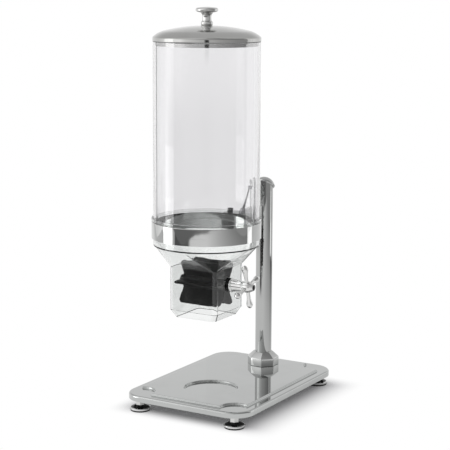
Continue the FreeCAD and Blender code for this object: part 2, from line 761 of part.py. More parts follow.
# ---------------------------------------------------------------- hopper and bin
def octant_circle(radius):
    """Circle in eight arcs: a short one faces each side of the chute and a long one each corner."""
    corners = []
    for quarter in range(4):
        for angle in (quarter * 90 - 85, quarter * 90 - 5):
            corners.append(("%s * cos(%d)" % (radius, angle), "%s * sin(%d)" % (radius, angle), radius))
    return corners


def level_sketch(body, level, corners):
    sketch = new_sketch(body, "XY_Plane", level)
    add_outline(sketch, corners)
    return sketch


def make_hopper():
    """Clear hopper: flange and throat in the ring, square-to-round funnel, wheel chute and spout."""
    body = place(new_body("hopper"), y="dims.bin_y")
    wall = "dims.hopper_wall"
    chute = rounded_rectangle("dims.chute_width / 2", "dims.chute_depth / 2", "dims.chute_corner")
    spout = rounded_rectangle("dims.spout_width / 2", "dims.spout_depth / 2", "dims.chute_corner")
    inner_corner = "(dims.chute_corner - %s)" % wall
    inner_chute = rounded_rectangle("dims.chute_width / 2 - " + wall, "dims.chute_depth / 2 - " + wall, inner_corner)
    inner_spout = rounded_rectangle("dims.spout_width / 2 - " + wall, "dims.spout_depth / 2 - " + wall, inner_corner)

    loft(body, "AdditiveLoft", level_sketch(body, "dims.throat_bottom", octant_circle("dims.funnel_radius")),
         level_sketch(body, "dims.chute_top", chute))
    pad(body, level_sketch(body, "dims.chute_bottom", chute), "dims.chute_top - dims.chute_bottom")
    loft(body, "AdditiveLoft", level_sketch(body, "dims.chute_bottom", chute),
         level_sketch(body, "dims.spout_bottom", spout))
    throat = new_sketch(body, "XY_Plane", "dims.throat_bottom")
    add_circle(throat, "dims.throat_radius")
    pad(body, throat, "dims.flange_top - dims.throat_bottom")
    flange = new_sketch(body, "XY_Plane", "dims.ring_top")
    add_circle(flange, "dims.ring_radius")
    pad(body, flange, "dims.flange_top - dims.ring_top")

    seat = new_sketch(body, "XY_Plane", "dims.flange_top")
    add_circle(seat, "dims.seat_radius")
    pocket(body, seat, "dims.flange_top - dims.seat_level", upward=False)
    bore = new_sketch(body, "XY_Plane", "dims.flange_top")
    add_circle(bore, "dims.hopper_bore")
    pocket(body, bore, "dims.flange_top - dims.funnel_inner_top", upward=False)
    loft(body, "SubtractiveLoft",
         level_sketch(body, "dims.funnel_inner_top", octant_circle("dims.hopper_bore")),
         level_sketch(body, "dims.funnel_inner_bottom", inner_chute))
    pocket(body, level_sketch(body, "dims.funnel_inner_bottom", inner_chute),
           "dims.funnel_inner_bottom - dims.chute_bottom", upward=False)
    loft(body, "SubtractiveLoft", level_sketch(body, "dims.chute_bottom", inner_chute),
         level_sketch(body, "dims.spout_bottom", inner_spout))

    right_hole = new_sketch(body, "YZ_Plane")
    add_circle(right_hole, "dims.bush_radius", up="dims.wheel_level")
    pocket(body, right_hole, "dims.chute_width")
    left_hole = new_sketch(body, "YZ_Plane")
    add_circle(left_hole, "dims.tail_bush_radius", up="dims.wheel_level")
    pocket(body, left_hole, "dims.chute_width", upward=False)


def make_bin_tube():
    """Clear round bin that stands in the seat of the hopper's flange."""
    outer = "dims.throat_radius"
    inner = "dims.throat_radius - dims.tube_wall"
    tube = turned_part("bin_tube", [
        (inner, "dims.seat_level"),
        (outer, "dims.seat_level"),
        (outer, "dims.tube_top - 0.6", "0.6"),
        (outer + " - 0.6", "dims.tube_top"),
        (inner + " + 0.6", "dims.tube_top", "0.6"),
        (inner, "dims.tube_top - 0.6"),
    ])
    place(tube, y="dims.bin_y")


# ---------------------------------------------------------------- paddle wheel and spindle
def on_spindle(body):
    """Put a body's origin on the spindle's axis, in the middle of the chute."""
    return place(body, y="dims.bin_y", z="dims.wheel_level")


def square(half):
    return [("-" + half, "-" + half), (half, "-" + half), (half, half), ("-" + half, half)]


def make_wheel():
    """Paddle wheel: a rigid core with a square bore, and six rubber vanes on a sleeve."""
    core = on_spindle(turned_part("wheel_core", [
        ("-dims.wheel_half_length", "0"),
        ("dims.wheel_half_length", "0"),
        ("dims.wheel_half_length", "dims.core_end_radius"),
        ("dims.wheel_half_length - dims.core_end_length", "dims.core_end_radius"),
        ("dims.wheel_half_length - dims.core_end_length", "dims.core_radius"),
        ("-dims.wheel_half_length", "dims.core_radius"),
    ], "H_Axis"))
    bore = new_sketch(core, "YZ_Plane")
    add_outline(bore, square("(dims.drive_width / 2 + dims.running_gap)"))
    pocket(core, bore, both_ways=True)

    vanes = on_spindle(new_body("wheel_vanes"))
    start = "-dims.wheel_half_length"
    length = "2 * dims.wheel_half_length - dims.core_end_length"
    sleeve = new_sketch(vanes, "YZ_Plane", start)
    add_circle(sleeve, "dims.sleeve_radius")
    add_circle(sleeve, "dims.core_radius")
    pad(vanes, sleeve, length)
    blade_sketch = new_sketch(vanes, "YZ_Plane", start)
    blade_sketch.AttachmentOffset = FreeCAD.Placement(
        blade_sketch.AttachmentOffset.Base, FreeCAD.Rotation(Vector(0, 0, 1), value("dims.vane_angle")))
    root = "dims.vane_root_thickness / 2"
    tip = "dims.vane_tip_thickness / 2"
    add_outline(blade_sketch, [
        ("(dims.core_radius + dims.sleeve_radius) / 2", "-" + root),
        ("dims.vane_radius - " + tip, "-" + tip, tip),
        ("dims.vane_radius", "0", tip),
        ("dims.vane_radius - " + tip, tip),
        ("(dims.core_radius + dims.sleeve_radius) / 2", root),
    ])
    blade = pad(vanes, blade_sketch, length)
    star = vanes.newObject("PartDesign::PolarPattern", "vane_pattern")
    star.Originals = [blade]
    axis = [item for item in vanes.Origin.OriginFeatures if item.Role == "X_Axis"][0]
    star.Axis = (axis, [""])
    star.Angle = 360
    bind(star, Occurrences="dims.vane_count")
    vanes.Tip = star

    def at_vane_root(edge):
        middle = edge.BoundBox.Center
        reach = math.hypot(middle.y, middle.z)
        return edge.BoundBox.XLength > value(length) - 1 and abs(reach - value("dims.sleeve_radius")) < 0.1

    round_edges(vanes, star, "dims.vane_fillet", at_vane_root)


def make_spindle():
    """Spindle: tail journal, square drive through the wheel, and a round journal into the handle."""
    body = on_spindle(new_body("spindle"))
    drive = new_sketch(body, "YZ_Plane", "-dims.wheel_half_length - 1")
    add_outline(drive, square("(dims.drive_width / 2)"))
    pad(body, drive, "2 * dims.wheel_half_length + 2")
    tail = new_sketch(body, "YZ_Plane", "-dims.tail_end")
    add_circle(tail, "dims.tail_radius")
    pad(body, tail, "dims.tail_end - dims.wheel_half_length")
    journal = new_sketch(body, "YZ_Plane", "dims.wheel_half_length + 1")
    add_circle(journal, "dims.journal_radius")
    pad(body, journal, "dims.handle_waist - dims.wheel_half_length - 1")


def make_bushes():
    """Flanged bush for the journal on the right, and a blind bush for the tail on the left."""
    wall_out = "dims.chute_width / 2"
    wall_in = "dims.chute_width / 2 - dims.hopper_wall"
    bore = "dims.journal_radius + dims.running_gap"
    on_spindle(turned_part("spindle_bush", [
        (wall_in + " - dims.bush_lip_thickness", bore),
        (wall_out + " + dims.bush_flange_thickness", bore),
        (wall_out + " + dims.bush_flange_thickness", "dims.bush_flange_radius"),
        (wall_out, "dims.bush_flange_radius"),
        (wall_out, "dims.bush_radius"),
        (wall_in, "dims.bush_radius"),
        (wall_in, "dims.bush_lip_radius"),
        (wall_in + " - dims.bush_lip_thickness", "dims.bush_lip_radius"),
    ], "H_Axis"))
    tail_bore = "dims.tail_radius + dims.running_gap"
    closed_end = "-(dims.tail_end + dims.running_gap)"
    outer_end = "-(%s + dims.tail_bush_flange_thickness)" % wall_out
    on_spindle(turned_part("tail_bush", [
        ("-(%s)" % wall_in, tail_bore),
        ("-(%s)" % wall_in, "dims.tail_bush_radius"),
        ("-(%s)" % wall_out, "dims.tail_bush_radius"),
        ("-(%s)" % wall_out, "dims.tail_bush_flange_radius"),
        (outer_end, "dims.tail_bush_flange_radius"),
        (outer_end, "0"),
        (closed_end, "0"),
        (closed_end, tail_bore),
    ], "H_Axis"))


# ---------------------------------------------------------------- cross handle
def radial_hole(body, radius, along, angle, start, length):
    """Round hole that runs out from the spindle's axis at an angle, from the radius `start`."""
    sketch = new_sketch(body, "XY_Plane", "%s * sin(%s)" % (start, angle))
    turn = FreeCAD.Rotation(Vector(1, 0, 0), value(angle) - 90)
    sketch.AttachmentOffset = FreeCAD.Placement(Vector(0, 0, 0), turn)
    sketch.setExpression("AttachmentOffset.Base.y", "%s * cos(%s)" % (start, angle))
    add_circle(sketch, radius, across=along)
    return pocket(body, sketch, length)


def make_handle():
    """Turned barrel of the handle, with holes for the spokes, the spindle, the grub screw and the end plug."""
    barrel = on_spindle(turned_part("handle_barrel", [
        ("dims.handle_start", "0"),
        ("dims.handle_tip", "0"),
        ("dims.handle_tip", "dims.handle_tip_radius - 0.6", "0.6"),
        ("dims.handle_tip - 0.6", "dims.handle_tip_radius"),
        ("dims.handle_hub_end", "dims.handle_hub_radius - 1.6"),
        ("dims.handle_hub_end - 2", "dims.handle_hub_radius"),
        ("dims.handle_waist + 1.5", "dims.handle_hub_radius"),
        ("dims.handle_waist", "dims.handle_waist_radius"),
        ("dims.handle_start + 2", "dims.handle_radius"),
        ("dims.handle_start", "dims.handle_radius - 0.8"),
    ], "H_Axis"))
    seat = new_sketch(barrel, "YZ_Plane", "dims.handle_start")
    add_circle(seat, "dims.journal_radius")
    pocket(barrel, seat, "dims.handle_waist - dims.handle_start")
    socket = new_sketch(barrel, "YZ_Plane", "dims.handle_tip")
    add_circle(socket, "dims.end_plug_radius")
    pocket(barrel, socket, "dims.end_plug_depth", upward=False)

    hole = radial_hole(barrel, "dims.spoke_root_radius", "dims.spoke_x", "dims.spoke_angle",
                       "dims.spoke_root", "dims.handle_radius")
    ring = barrel.newObject("PartDesign::PolarPattern", "spoke_hole_pattern")
    ring.Originals = [hole]
    axis = [item for item in barrel.Origin.OriginFeatures if item.Role == "X_Axis"][0]
    ring.Axis = (axis, [""])
    ring.Angle = 360
    bind(ring, Occurrences="dims.spoke_count")
    barrel.Tip = ring
    radial_hole(barrel, "dims.grub_radius", "dims.grub_x", "dims.grub_angle",
                "(dims.journal_radius - 1)", "dims.handle_radius")


def make_spokes():
    """Four teardrop spokes of the cross handle: one group of separate solids."""
    root = value("dims.spoke_root")
    reach = value("dims.spoke_reach")
    root_radius = value("dims.spoke_root_radius")
    end_radius = value("dims.spoke_end_radius")
    centre = reach - end_radius
    slope = math.asin((end_radius - root_radius) / (centre - root))
    touch = (centre - end_radius * math.sin(slope), end_radius * math.cos(slope))
    neck = (value("dims.handle_hub_radius"), root_radius)
    points = [Vector(root, 0, 0), Vector(root, 0, root_radius), Vector(neck[0], 0, neck[1]),
              Vector(touch[0], 0, touch[1]), Vector(reach, 0, 0)]
    top = Vector(centre + end_radius * math.cos(math.pi / 4), 0, end_radius * math.sin(math.pi / 4))
    edges = [Part.LineSegment(points[index], points[index + 1]).toShape() for index in range(3)]
    edges.append(Part.Arc(points[3], top, points[4]).toShape())
    edges.append(Part.LineSegment(points[4], points[0]).toShape())
    teardrop = Part.Face(Part.Wire(edges)).revolve(Vector(0, 0, 0), Vector(1, 0, 0), 360)
    count = int(value("dims.spoke_count"))
    spokes = []
    for number in range(count):
        angle = value("dims.spoke_angle") + number * 360 / count
        spoke = teardrop.copy()
        spoke.rotate(Vector(0, 0, 0), Vector(0, 0, 1), 90)
        spoke.rotate(Vector(0, 0, 0), Vector(1, 0, 0), angle)
        spokes.append(spoke)
    group = sub_part(doc.addObject("Part::Feature", "spoke_group"), "handle_spokes")
    group.Shape = Part.Compound(spokes)
    place(group, "dims.spoke_x", "dims.bin_y", "dims.wheel_level")


def make_handle_trim():
    """Plug in the end of the handle, and the grub screw that holds it on the spindle."""
    on_spindle(turned_part("handle_end_plug", [
        ("dims.handle_tip - dims.end_plug_depth", "0"),
        ("dims.handle_tip + dims.end_plug_dome", "0",
         dome("dims.end_plug_radius", "0", "dims.end_plug_dome - 0.1")),
        ("dims.handle_tip + 0.1", "dims.end_plug_radius"),
        ("dims.handle_tip - dims.end_plug_depth", "dims.end_plug_radius"),
    ], "H_Axis"))
    grub = sub_part(bind(doc.addObject("Part::Cylinder", "grub_screw_solid"), Radius="dims.grub_radius",
                         Height="dims.handle_radius - dims.journal_radius - 1.2"), "handle_grub_screw")
    turn = value("dims.grub_angle")
    grub.Placement.Rotation = FreeCAD.Rotation(Vector(1, 0, 0), turn - 90)
    place(grub, "dims.grub_x", "dims.bin_y + dims.journal_radius * cos(dims.grub_angle)",
          "dims.wheel_level + dims.journal_radius * sin(dims.grub_angle)")


# ---------------------------------------------------------------- lid
def make_lid():
    """Lid: pressed cover, skirt ring that centres it in the bin, gasket, knob, screw and washer."""
    sheet_in = " - dims.lid_sheet"
    edge_in = sheet_in + " * %s(dims.lid_edge_slope)"
    shoulder_in = sheet_in + " * %s(dims.lid_shoulder_slope)"
    crown = dome("dims.lid_shoulder_radius", "dims.lid_flat_radius", "dims.lid_top - dims.lid_shoulder_top")
    place(turned_part("lid_cover", [
        ("dims.lid_radius" + sheet_in, "dims.lid_bottom"),
        ("dims.lid_radius", "dims.lid_bottom"),
        ("dims.lid_radius", "dims.lid_band_top", "dims.lid_corner"),
        ("dims.lid_edge_radius", "dims.lid_edge_top", "dims.lid_bend_radius"),
        ("dims.lid_shoulder_radius", "dims.lid_shoulder_top", crown),
        ("dims.lid_flat_radius", "dims.lid_top"),
        ("dims.knob_screw_radius + 0.2", "dims.lid_top"),
        ("dims.knob_screw_radius + 0.2", "dims.lid_top" + sheet_in),
        ("dims.lid_flat_radius", "dims.lid_top" + sheet_in, "-(%s%s)" % (crown, sheet_in)),
        ("dims.lid_shoulder_radius" + shoulder_in % "sin", "dims.lid_shoulder_top" + shoulder_in % "cos",
         "-(dims.lid_bend_radius%s)" % sheet_in),
        ("dims.lid_edge_radius" + edge_in % "sin", "dims.lid_edge_top" + edge_in % "cos",
         "-(dims.lid_corner%s)" % sheet_in),
        ("dims.lid_radius" + sheet_in, "dims.lid_band_top"),
    ]), y="dims.bin_y")

    flange_out = "dims.lid_radius - dims.lid_sheet"
    place(turned_part("lid_skirt", [
        ("dims.skirt_radius" + sheet_in, "dims.skirt_end"),
        ("dims.skirt_radius", "dims.skirt_end"),
        ("dims.skirt_radius", "dims.lid_bottom"),
        (flange_out, "dims.lid_bottom"),
        (flange_out, "dims.lid_bottom + dims.lid_sheet"),
        ("dims.skirt_flange_inner", "dims.lid_bottom + dims.lid_sheet"),
        ("dims.skirt_flange_inner", "dims.lid_bottom"),
        ("dims.skirt_radius" + sheet_in, "dims.lid_bottom"),
    ]), y="dims.bin_y")

    place(turned_part("lid_gasket", [
        ("dims.skirt_radius", "dims.tube_top"),
        ("dims.throat_radius - 0.3", "dims.tube_top"),
        ("dims.throat_radius - 0.3", "dims.lid_bottom"),
        ("dims.skirt_radius", "dims.lid_bottom"),
    ]), y="dims.bin_y")

    bore = "dims.knob_screw_radius + 0.05"
    bore_top = "dims.knob_screw_reach"
    place(turned_part("lid_knob", [
        (bore, "0"),
        ("dims.knob_foot_radius", "0", "9.25"),
        ("dims.knob_foot_radius", "dims.knob_foot_height", "-4"),
        ("dims.knob_neck_radius", "dims.knob_neck_bottom", "-30"),
        ("dims.knob_neck_radius", "dims.knob_neck_top", "-6"),
        ("dims.knob_flare_radius", "dims.knob_flare_level"),
        ("dims.knob_under_radius", "dims.knob_under_level", "3.2"),
        ("dims.knob_radius", "dims.knob_rim_level", "3.6"),
        ("dims.knob_edge_radius", "dims.knob_edge_level",
         dome("dims.knob_edge_radius", "0", "dims.knob_height - dims.knob_edge_level")),
        ("0", "dims.knob_height"),
        ("0", bore_top),
        (bore, bore_top),
    ]), y="dims.bin_y", z="dims.lid_top")

    under = "dims.lid_top - dims.lid_sheet"
    washer = plate_with_hole("lid_knob_washer", lambda sketch: add_circle(sketch, "dims.knob_washer_radius"),
                             "dims.knob_screw_radius + 0.2", "dims.knob_washer_thickness")
    place(washer, y="dims.bin_y", z=under + " - dims.knob_washer_thickness")
    screw = place(new_body("lid_knob_screw"), y="dims.bin_y", z=under + " - dims.knob_washer_thickness")
    head_sketch = new_sketch(screw, "XY_Plane", "-dims.knob_screw_head_height")
    add_circle(head_sketch, "dims.knob_screw_head_radius")
    pad(screw, head_sketch, "dims.knob_screw_head_height")
    shank_sketch = new_sketch(screw, "XY_Plane")
    add_circle(shank_sketch, "dims.knob_screw_radius")
    pad(screw, shank_sketch, "dims.knob_screw_reach")


# ---------------------------------------------------------------- build, check and write
make_base()
make_weld_nuts()
for foot_number, (foot_side_x, foot_side_y) in enumerate(CORNERS, start=1):
    make_foot(foot_number, foot_side_x, foot_side_y)
make_column()
make_column_cap()
make_column_fixing()
make_ring()
make_arm()
make_arm_screws()
make_lug_screw()
make_lug_nuts()
make_clamp_lever()
make_hopper()
make_bin_tube()
make_wheel()
make_spindle()
make_bushes()
make_handle()
make_spokes()
make_handle_trim()
make_lid()
doc.recompute()

failed = [item.Name for item in doc.Objects if "Invalid" in item.State or "Error" in item.State]
if failed:
    raise RuntimeError("failed objects: " + ", ".join(failed))
for item in parts:
    if item.Shape.isNull() or not item.Shape.isValid():
        raise RuntimeError("bad shape: " + item.Label)

os.makedirs("parts", exist_ok=True)
for item in parts:
    item.Shape.exportStep("parts/" + item.Label + ".step")
    print("%-22s solids %d volume %.1f" % (item.Label, len(item.Shape.Solids), item.Shape.Volume))
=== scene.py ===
import math

import bpy
from mathutils import Matrix, Quaternion, Vector


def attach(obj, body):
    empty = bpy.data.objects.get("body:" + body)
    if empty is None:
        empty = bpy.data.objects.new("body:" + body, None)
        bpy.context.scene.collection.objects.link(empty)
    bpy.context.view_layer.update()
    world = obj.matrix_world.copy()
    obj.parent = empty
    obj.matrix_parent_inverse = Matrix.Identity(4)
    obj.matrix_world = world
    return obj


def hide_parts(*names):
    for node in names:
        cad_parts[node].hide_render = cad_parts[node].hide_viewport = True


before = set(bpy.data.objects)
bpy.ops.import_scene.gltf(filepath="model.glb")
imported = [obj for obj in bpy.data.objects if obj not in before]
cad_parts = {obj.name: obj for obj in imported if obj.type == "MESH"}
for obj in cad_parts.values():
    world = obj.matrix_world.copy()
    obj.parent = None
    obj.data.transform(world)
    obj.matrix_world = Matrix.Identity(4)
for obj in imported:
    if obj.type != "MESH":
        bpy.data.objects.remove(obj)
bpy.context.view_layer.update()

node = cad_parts
scene = bpy.context.scene
scene.view_settings.view_transform = "Standard"
bpy.ops.object.select_all(action="DESELECT")


# ---------------------------------------------------------------- studio: camera
# A long lens a little over two metres away, to the right of the front and a
# hand's breadth above the bin's middle, with the faint roll of a hand-set tripod.
LENS = 113.4
SENSOR_WIDTH = 36.0
CAMERA_PLACE = Vector((1.178, -2.0145, 0.7009))
CAMERA_AIM = Vector((0.0, -0.02085, 0.3009))
CAMERA_ROLL = math.radians(0.26)

camera_data = bpy.data.cameras.new("studio_camera")
camera_data.lens = LENS
camera_data.sensor_width = SENSOR_WIDTH
camera = bpy.data.objects.new("studio_camera", camera_data)
scene.collection.objects.link(camera)
camera.rotation_mode = "QUATERNION"
camera.location = CAMERA_PLACE
level_view = (CAMERA_AIM - CAMERA_PLACE).to_track_quat("-Z", "Y")
camera.rotation_quaternion = level_view @ Quaternion((0, 0, 1), CAMERA_ROLL)
scene.camera = camera


# ---------------------------------------------------------------- studio: table top
# A matt white table. Its front and sides end about a metre and a half from the bin,
# so polished steel shows the table, a dim band on its left and the floor beyond.
EAST = Vector((1, 0, 0))
BACK = Vector((0, 1, 0))
BIN_AXIS = Vector((0.0, -0.080, 0.0))
TO_CAMERA = Vector((CAMERA_PLACE.x, CAMERA_PLACE.y - BIN_AXIS.y, 0.0)).normalized()
TO_RIGHT = Vector((-TO_CAMERA.y, TO_CAMERA.x, 0.0))
TABLE_OUTLINE = [(-6.0, -1.30), (-0.96, -1.38), (-0.44, -1.78), (0.60, -1.78), (1.00, -1.30),
                 (1.425, -0.972), (1.546, -0.853), (1.675, -0.663), (1.80, -0.30), (1.86, 0.30),
                 (1.86, 1.00), (1.40, 1.60), (-0.20, 1.78), (-6.0, 1.90)]
TABLE_COLOR = (0.88, 0.875, 0.90, 1)

# A painted shadow round the base: near it the table's white glow is held back, so the table is
# darker there than its real shade alone makes it. This painted shade fades out between these two
# places on each of its sides.
SHADE_LEFT = (-0.150, -0.100)
SHADE_RIGHT = (0.088, 0.171)
SHADE_FRONT = (-0.177, -0.125)
SHADE_BACK = (0.150, 0.205)
SHADE_WHITE = 0.04
# As steel mirrors it, the table is painted darker round the base, down to this share.
SHADE_IN_STEEL = 0.16

# What steel mirrors of the table: brightness by bearing and distance from the bin.
DIM_FROM = (math.radians(-70), math.radians(-66))
DIM_TO = (math.radians(-39), math.radians(-31))
DIM_BEYOND = (0.50, 0.66)
DIM_BAND = 0.17
LEFT_END = (-1.40, -1.00)
LEFT_BRIGHTNESS = 0.72
MIDDLE_BRIGHTNESS = 0.95
RIGHT_END = 1.70
RIGHT_BRIGHTNESS = 0.30
BEHIND_BIN = (-0.30, 0.0)
BACK_DISTANCE = (1.22, 1.40)
BACK_BRIGHTNESS = (-0.20, 0.74)


def on_table(towards, right):
    """A point on the table, given towards the camera and to the right of the bin."""
    return BIN_AXIS + TO_CAMERA * towards + TO_RIGHT * right


table_mesh = bpy.data.meshes.new("table_top")
table_mesh.from_pydata([on_table(*corner).to_tuple() for corner in TABLE_OUTLINE], [],
                       [tuple(range(len(TABLE_OUTLINE)))])
table_top = bpy.data.objects.new("table_top", table_mesh)
scene.collection.objects.link(table_top)


def new_material(name):
    """An empty node material, with its node tree and its output."""
    material = bpy.data.materials.new(name)
    material.use_nodes = True
    tree = material.node_tree
    tree.nodes.clear()
    return material, tree, tree.nodes.new("ShaderNodeOutputMaterial")


def math_node(tree, operation, first, second=0.5, clamp=False):
    """A Math node: each input is a number or a socket."""
    step = tree.nodes.new("ShaderNodeMath")
    step.operation = operation
    step.use_clamp = clamp
    for socket, source in zip(step.inputs, (first, second)):
        if isinstance(source, (int, float)):
            socket.default_value = source
        else:
            tree.links.new(source, socket)
    return step.outputs[0]


def combined(tree, operation, *values):
    """Several values taken together by one kind of Math node."""
    result = values[0]
    for value in values[1:]:
        result = math_node(tree, operation, result, value)
    return result


def vector_node(tree, operation, first, second=(0, 0, 0)):
    """A Vector Math node: each input is three numbers or a socket."""
    step = tree.nodes.new("ShaderNodeVectorMath")
    step.operation = operation
    for socket, source in zip(step.inputs, (first, second)):
        if isinstance(source, (tuple, Vector)):
            socket.default_value = source
        else:
            tree.links.new(source, socket)
    return step.outputs["Value" if operation in ("LENGTH", "DOT_PRODUCT") else "Vector"]


def scaled_range(tree, source, low, high, to_low, to_high, kind="SMOOTHSTEP"):
    """A value mapped from one range to another and held at both ends, by numbers or sockets."""
    remap = tree.nodes.new("ShaderNodeMapRange")
    remap.interpolation_type = kind
    limits = (("From Min", low), ("From Max", high), ("To Min", to_low), ("To Max", to_high))
    for name, limit in limits:
        if isinstance(limit, (int, float)):
            remap.inputs[name].default_value = limit
        else:
            tree.links.new(limit, remap.inputs[name])
    tree.links.new(source, remap.inputs["Value"])
    return remap.outputs["Result"]


def mix_shaders(tree, share, first, second):
    """A Mix Shader of two shaders' outputs."""
    mix = tree.nodes.new("ShaderNodeMixShader")
    tree.links.new(share, mix.inputs[0])
    tree.links.new(first, mix.inputs[1])
    tree.links.new(second, mix.inputs[2])
    return mix.outputs[0]


def ways_seen(tree):
    """Whether a ray looks straight or through clear plastic, and whether it left a mirror."""
    paths = tree.nodes.new("ShaderNodeLightPath").outputs
    by_mirror = math_node(tree, "GREATER_THAN", paths["Glossy Depth"], 0.5)
    straight = math_node(tree, "MAXIMUM", paths["Is Camera Ray"], paths["Is Transmission Ray"])
    return math_node(tree, "SUBTRACT", straight, by_mirror, clamp=True), by_mirror


table_paint, tree, output = new_material("table_paint")
places = tree.nodes.new("ShaderNodeTexCoord").outputs["Object"]
matt = tree.nodes.new("ShaderNodeBsdfDiffuse")
matt.inputs["Color"].default_value = TABLE_COLOR
white = tree.nodes.new("ShaderNodeEmission")
east = vector_node(tree, "DOT_PRODUCT", places, EAST)
north = vector_node(tree, "DOT_PRODUCT", places, BACK)
# Painted shadow: one inside the box round the base, nothing beyond it.
shade = combined(tree, "MULTIPLY", scaled_range(tree, east, *SHADE_LEFT, 0.0, 1.0),
                 scaled_range(tree, east, *SHADE_RIGHT, 1.0, 0.0),
                 scaled_range(tree, north, *SHADE_FRONT, 0.0, 1.0),
                 scaled_range(tree, north, *SHADE_BACK, 1.0, 0.0))
white_share = scaled_range(tree, shade, 0.0, 1.0, 1.0, SHADE_WHITE, "LINEAR")
seen, by_mirror = ways_seen(tree)
# Near the base the table shows its lit matt paint, with the base's real shadow and the painted
# shade; farther off it glows plain white.
lit = mix_shaders(tree, math_node(tree, "MULTIPLY", seen, white_share), matt.outputs[0],
                  white.outputs[0])

beside_bin = vector_node(tree, "SUBTRACT", places, BIN_AXIS)
to_right = vector_node(tree, "DOT_PRODUCT", beside_bin, TO_RIGHT)
to_camera = vector_node(tree, "DOT_PRODUCT", beside_bin, TO_CAMERA)
bearing = math_node(tree, "ARCTAN2", to_right, to_camera)
apart = vector_node(tree, "LENGTH", beside_bin)
not_dim = combined(tree, "MAXIMUM", scaled_range(tree, bearing, *DIM_FROM, 1.0, 0.0),
                   scaled_range(tree, bearing, *DIM_TO, 0.0, 1.0),
                   scaled_range(tree, apart, *DIM_BEYOND, 1.0, 0.0))
dim_band = scaled_range(tree, not_dim, 0.0, 1.0, DIM_BAND, 1.0, "LINEAR")
left_fade = scaled_range(tree, to_right, *LEFT_END, LEFT_BRIGHTNESS, 1.0)
back_light = scaled_range(tree, apart, *BACK_DISTANCE, *BACK_BRIGHTNESS)
right_light = scaled_range(tree, to_camera, *BEHIND_BIN, back_light, RIGHT_BRIGHTNESS)
right_fade = scaled_range(tree, to_right, 0.0, RIGHT_END, MIDDLE_BRIGHTNESS, right_light, "LINEAR")
# Painted shadow in reflections: the mirrored table is darkened round the base.
painted_near_shade = scaled_range(tree, white_share, SHADE_WHITE, 1.0, SHADE_IN_STEEL, 1.0, "LINEAR")
mirrored = tree.nodes.new("ShaderNodeEmission")
tree.links.new(combined(tree, "MULTIPLY", dim_band, left_fade, right_fade, painted_near_shade),
               mirrored.inputs["Strength"])
tree.links.new(mix_shaders(tree, by_mirror, lit, mirrored.outputs[0]), output.inputs["Surface"])
table_mesh.materials.append(table_paint)


# ---------------------------------------------------------------- studio: room
# White where the lens and clear plastic look. Polished metal also sees pale
# walls, brighter on the left, with a gap for the camera, and a dark floor.
WALL_STOPS = [(-180, 0.98), (-125, 0.96), (-104, 1.20), (-75, 1.45), (-58, 1.50), (-48, 1.20),
              (-38, 1.05), (-12, 0.78), (14, 0.68), (30, 0.56), (65, 0.42), (105, 0.36),
              (114, 1.20), (135, 0.96)]
UP = Vector((0, 0, 1))
CEILING_HEIGHT = 0.60
CEILING_SHARE = 0.66
FLOOR_ACROSS = (0.05, 0.35)
FLOOR_LEFT = 0.19
FLOOR_RIGHT = 0.40
FLOOR_IN_FRONT = (-0.15, 0.10)
HORIZON = (-0.11, -0.05)
GAP_SIDE = (0.07, 0.09)
GAP_BOTTOM = (-0.062, -0.048)
GAP_TOP = (0.10, 0.20)
GAP_BRIGHTNESS = 0.03
SOFT_LIGHT = 0.45

room = bpy.data.worlds.new("room")
scene.world = room
room.use_nodes = True
tree = room.node_tree
tree.nodes.clear()
ways = tree.nodes.new("ShaderNodeTexCoord").outputs["Generated"]
background = tree.nodes.new("ShaderNodeBackground")
background.inputs["Color"].default_value = (1, 1, 1, 1)
output = tree.nodes.new("ShaderNodeOutputWorld")
towards = vector_node(tree, "DOT_PRODUCT", ways, TO_CAMERA)
right = vector_node(tree, "DOT_PRODUCT", ways, TO_RIGHT)
upward = vector_node(tree, "DOT_PRODUCT", ways, UP)
bearing = math_node(tree, "ARCTAN2", right, towards)
walls = tree.nodes.new("ShaderNodeValToRGB")
stops = walls.color_ramp.elements
while len(stops) < len(WALL_STOPS):
    stops.new(0.5)
for stop, (degrees, brightness) in zip(stops, WALL_STOPS):
    stop.position = degrees / 360 + 0.5
    stop.color = (brightness, brightness, brightness, 1)
tree.links.new(scaled_range(tree, bearing, -math.pi, math.pi, 0.0, 1.0, "LINEAR"),
               walls.inputs["Fac"])
height_share = scaled_range(tree, upward, 0.0, CEILING_HEIGHT, 1.0, CEILING_SHARE)
wall = math_node(tree, "MULTIPLY", walls.outputs["Color"], height_share)
dark_floor = scaled_range(tree, right, *FLOOR_ACROSS, FLOOR_LEFT, FLOOR_RIGHT)
floor_beyond = scaled_range(tree, towards, *FLOOR_IN_FRONT, wall, dark_floor)
metal_sees = scaled_range(tree, upward, *HORIZON, floor_beyond, wall)
aside = math_node(tree, "ABSOLUTE", right)
lens_gap = combined(tree, "MULTIPLY", scaled_range(tree, aside, *GAP_SIDE, 1.0, 0.0),
                    scaled_range(tree, upward, *GAP_BOTTOM, 0.0, 1.0),
                    scaled_range(tree, upward, *GAP_TOP, 1.0, 0.0),
                    math_node(tree, "GREATER_THAN", towards, 0.0))
metal_sees = scaled_range(tree, lens_gap, 0.0, 1.0, metal_sees, GAP_BRIGHTNESS, "LINEAR")
seen, by_mirror = ways_seen(tree)
looked_at = math_node(tree, "ADD", seen, by_mirror, clamp=True)
others = math_node(tree, "MULTIPLY", math_node(tree, "SUBTRACT", 1.0, looked_at), SOFT_LIGHT)
shown = combined(tree, "MAXIMUM", seen, math_node(tree, "MULTIPLY", by_mirror, metal_sees), others)
tree.links.new(shown, background.inputs["Strength"])
tree.links.new(background.outputs[0], output.inputs["Surface"])


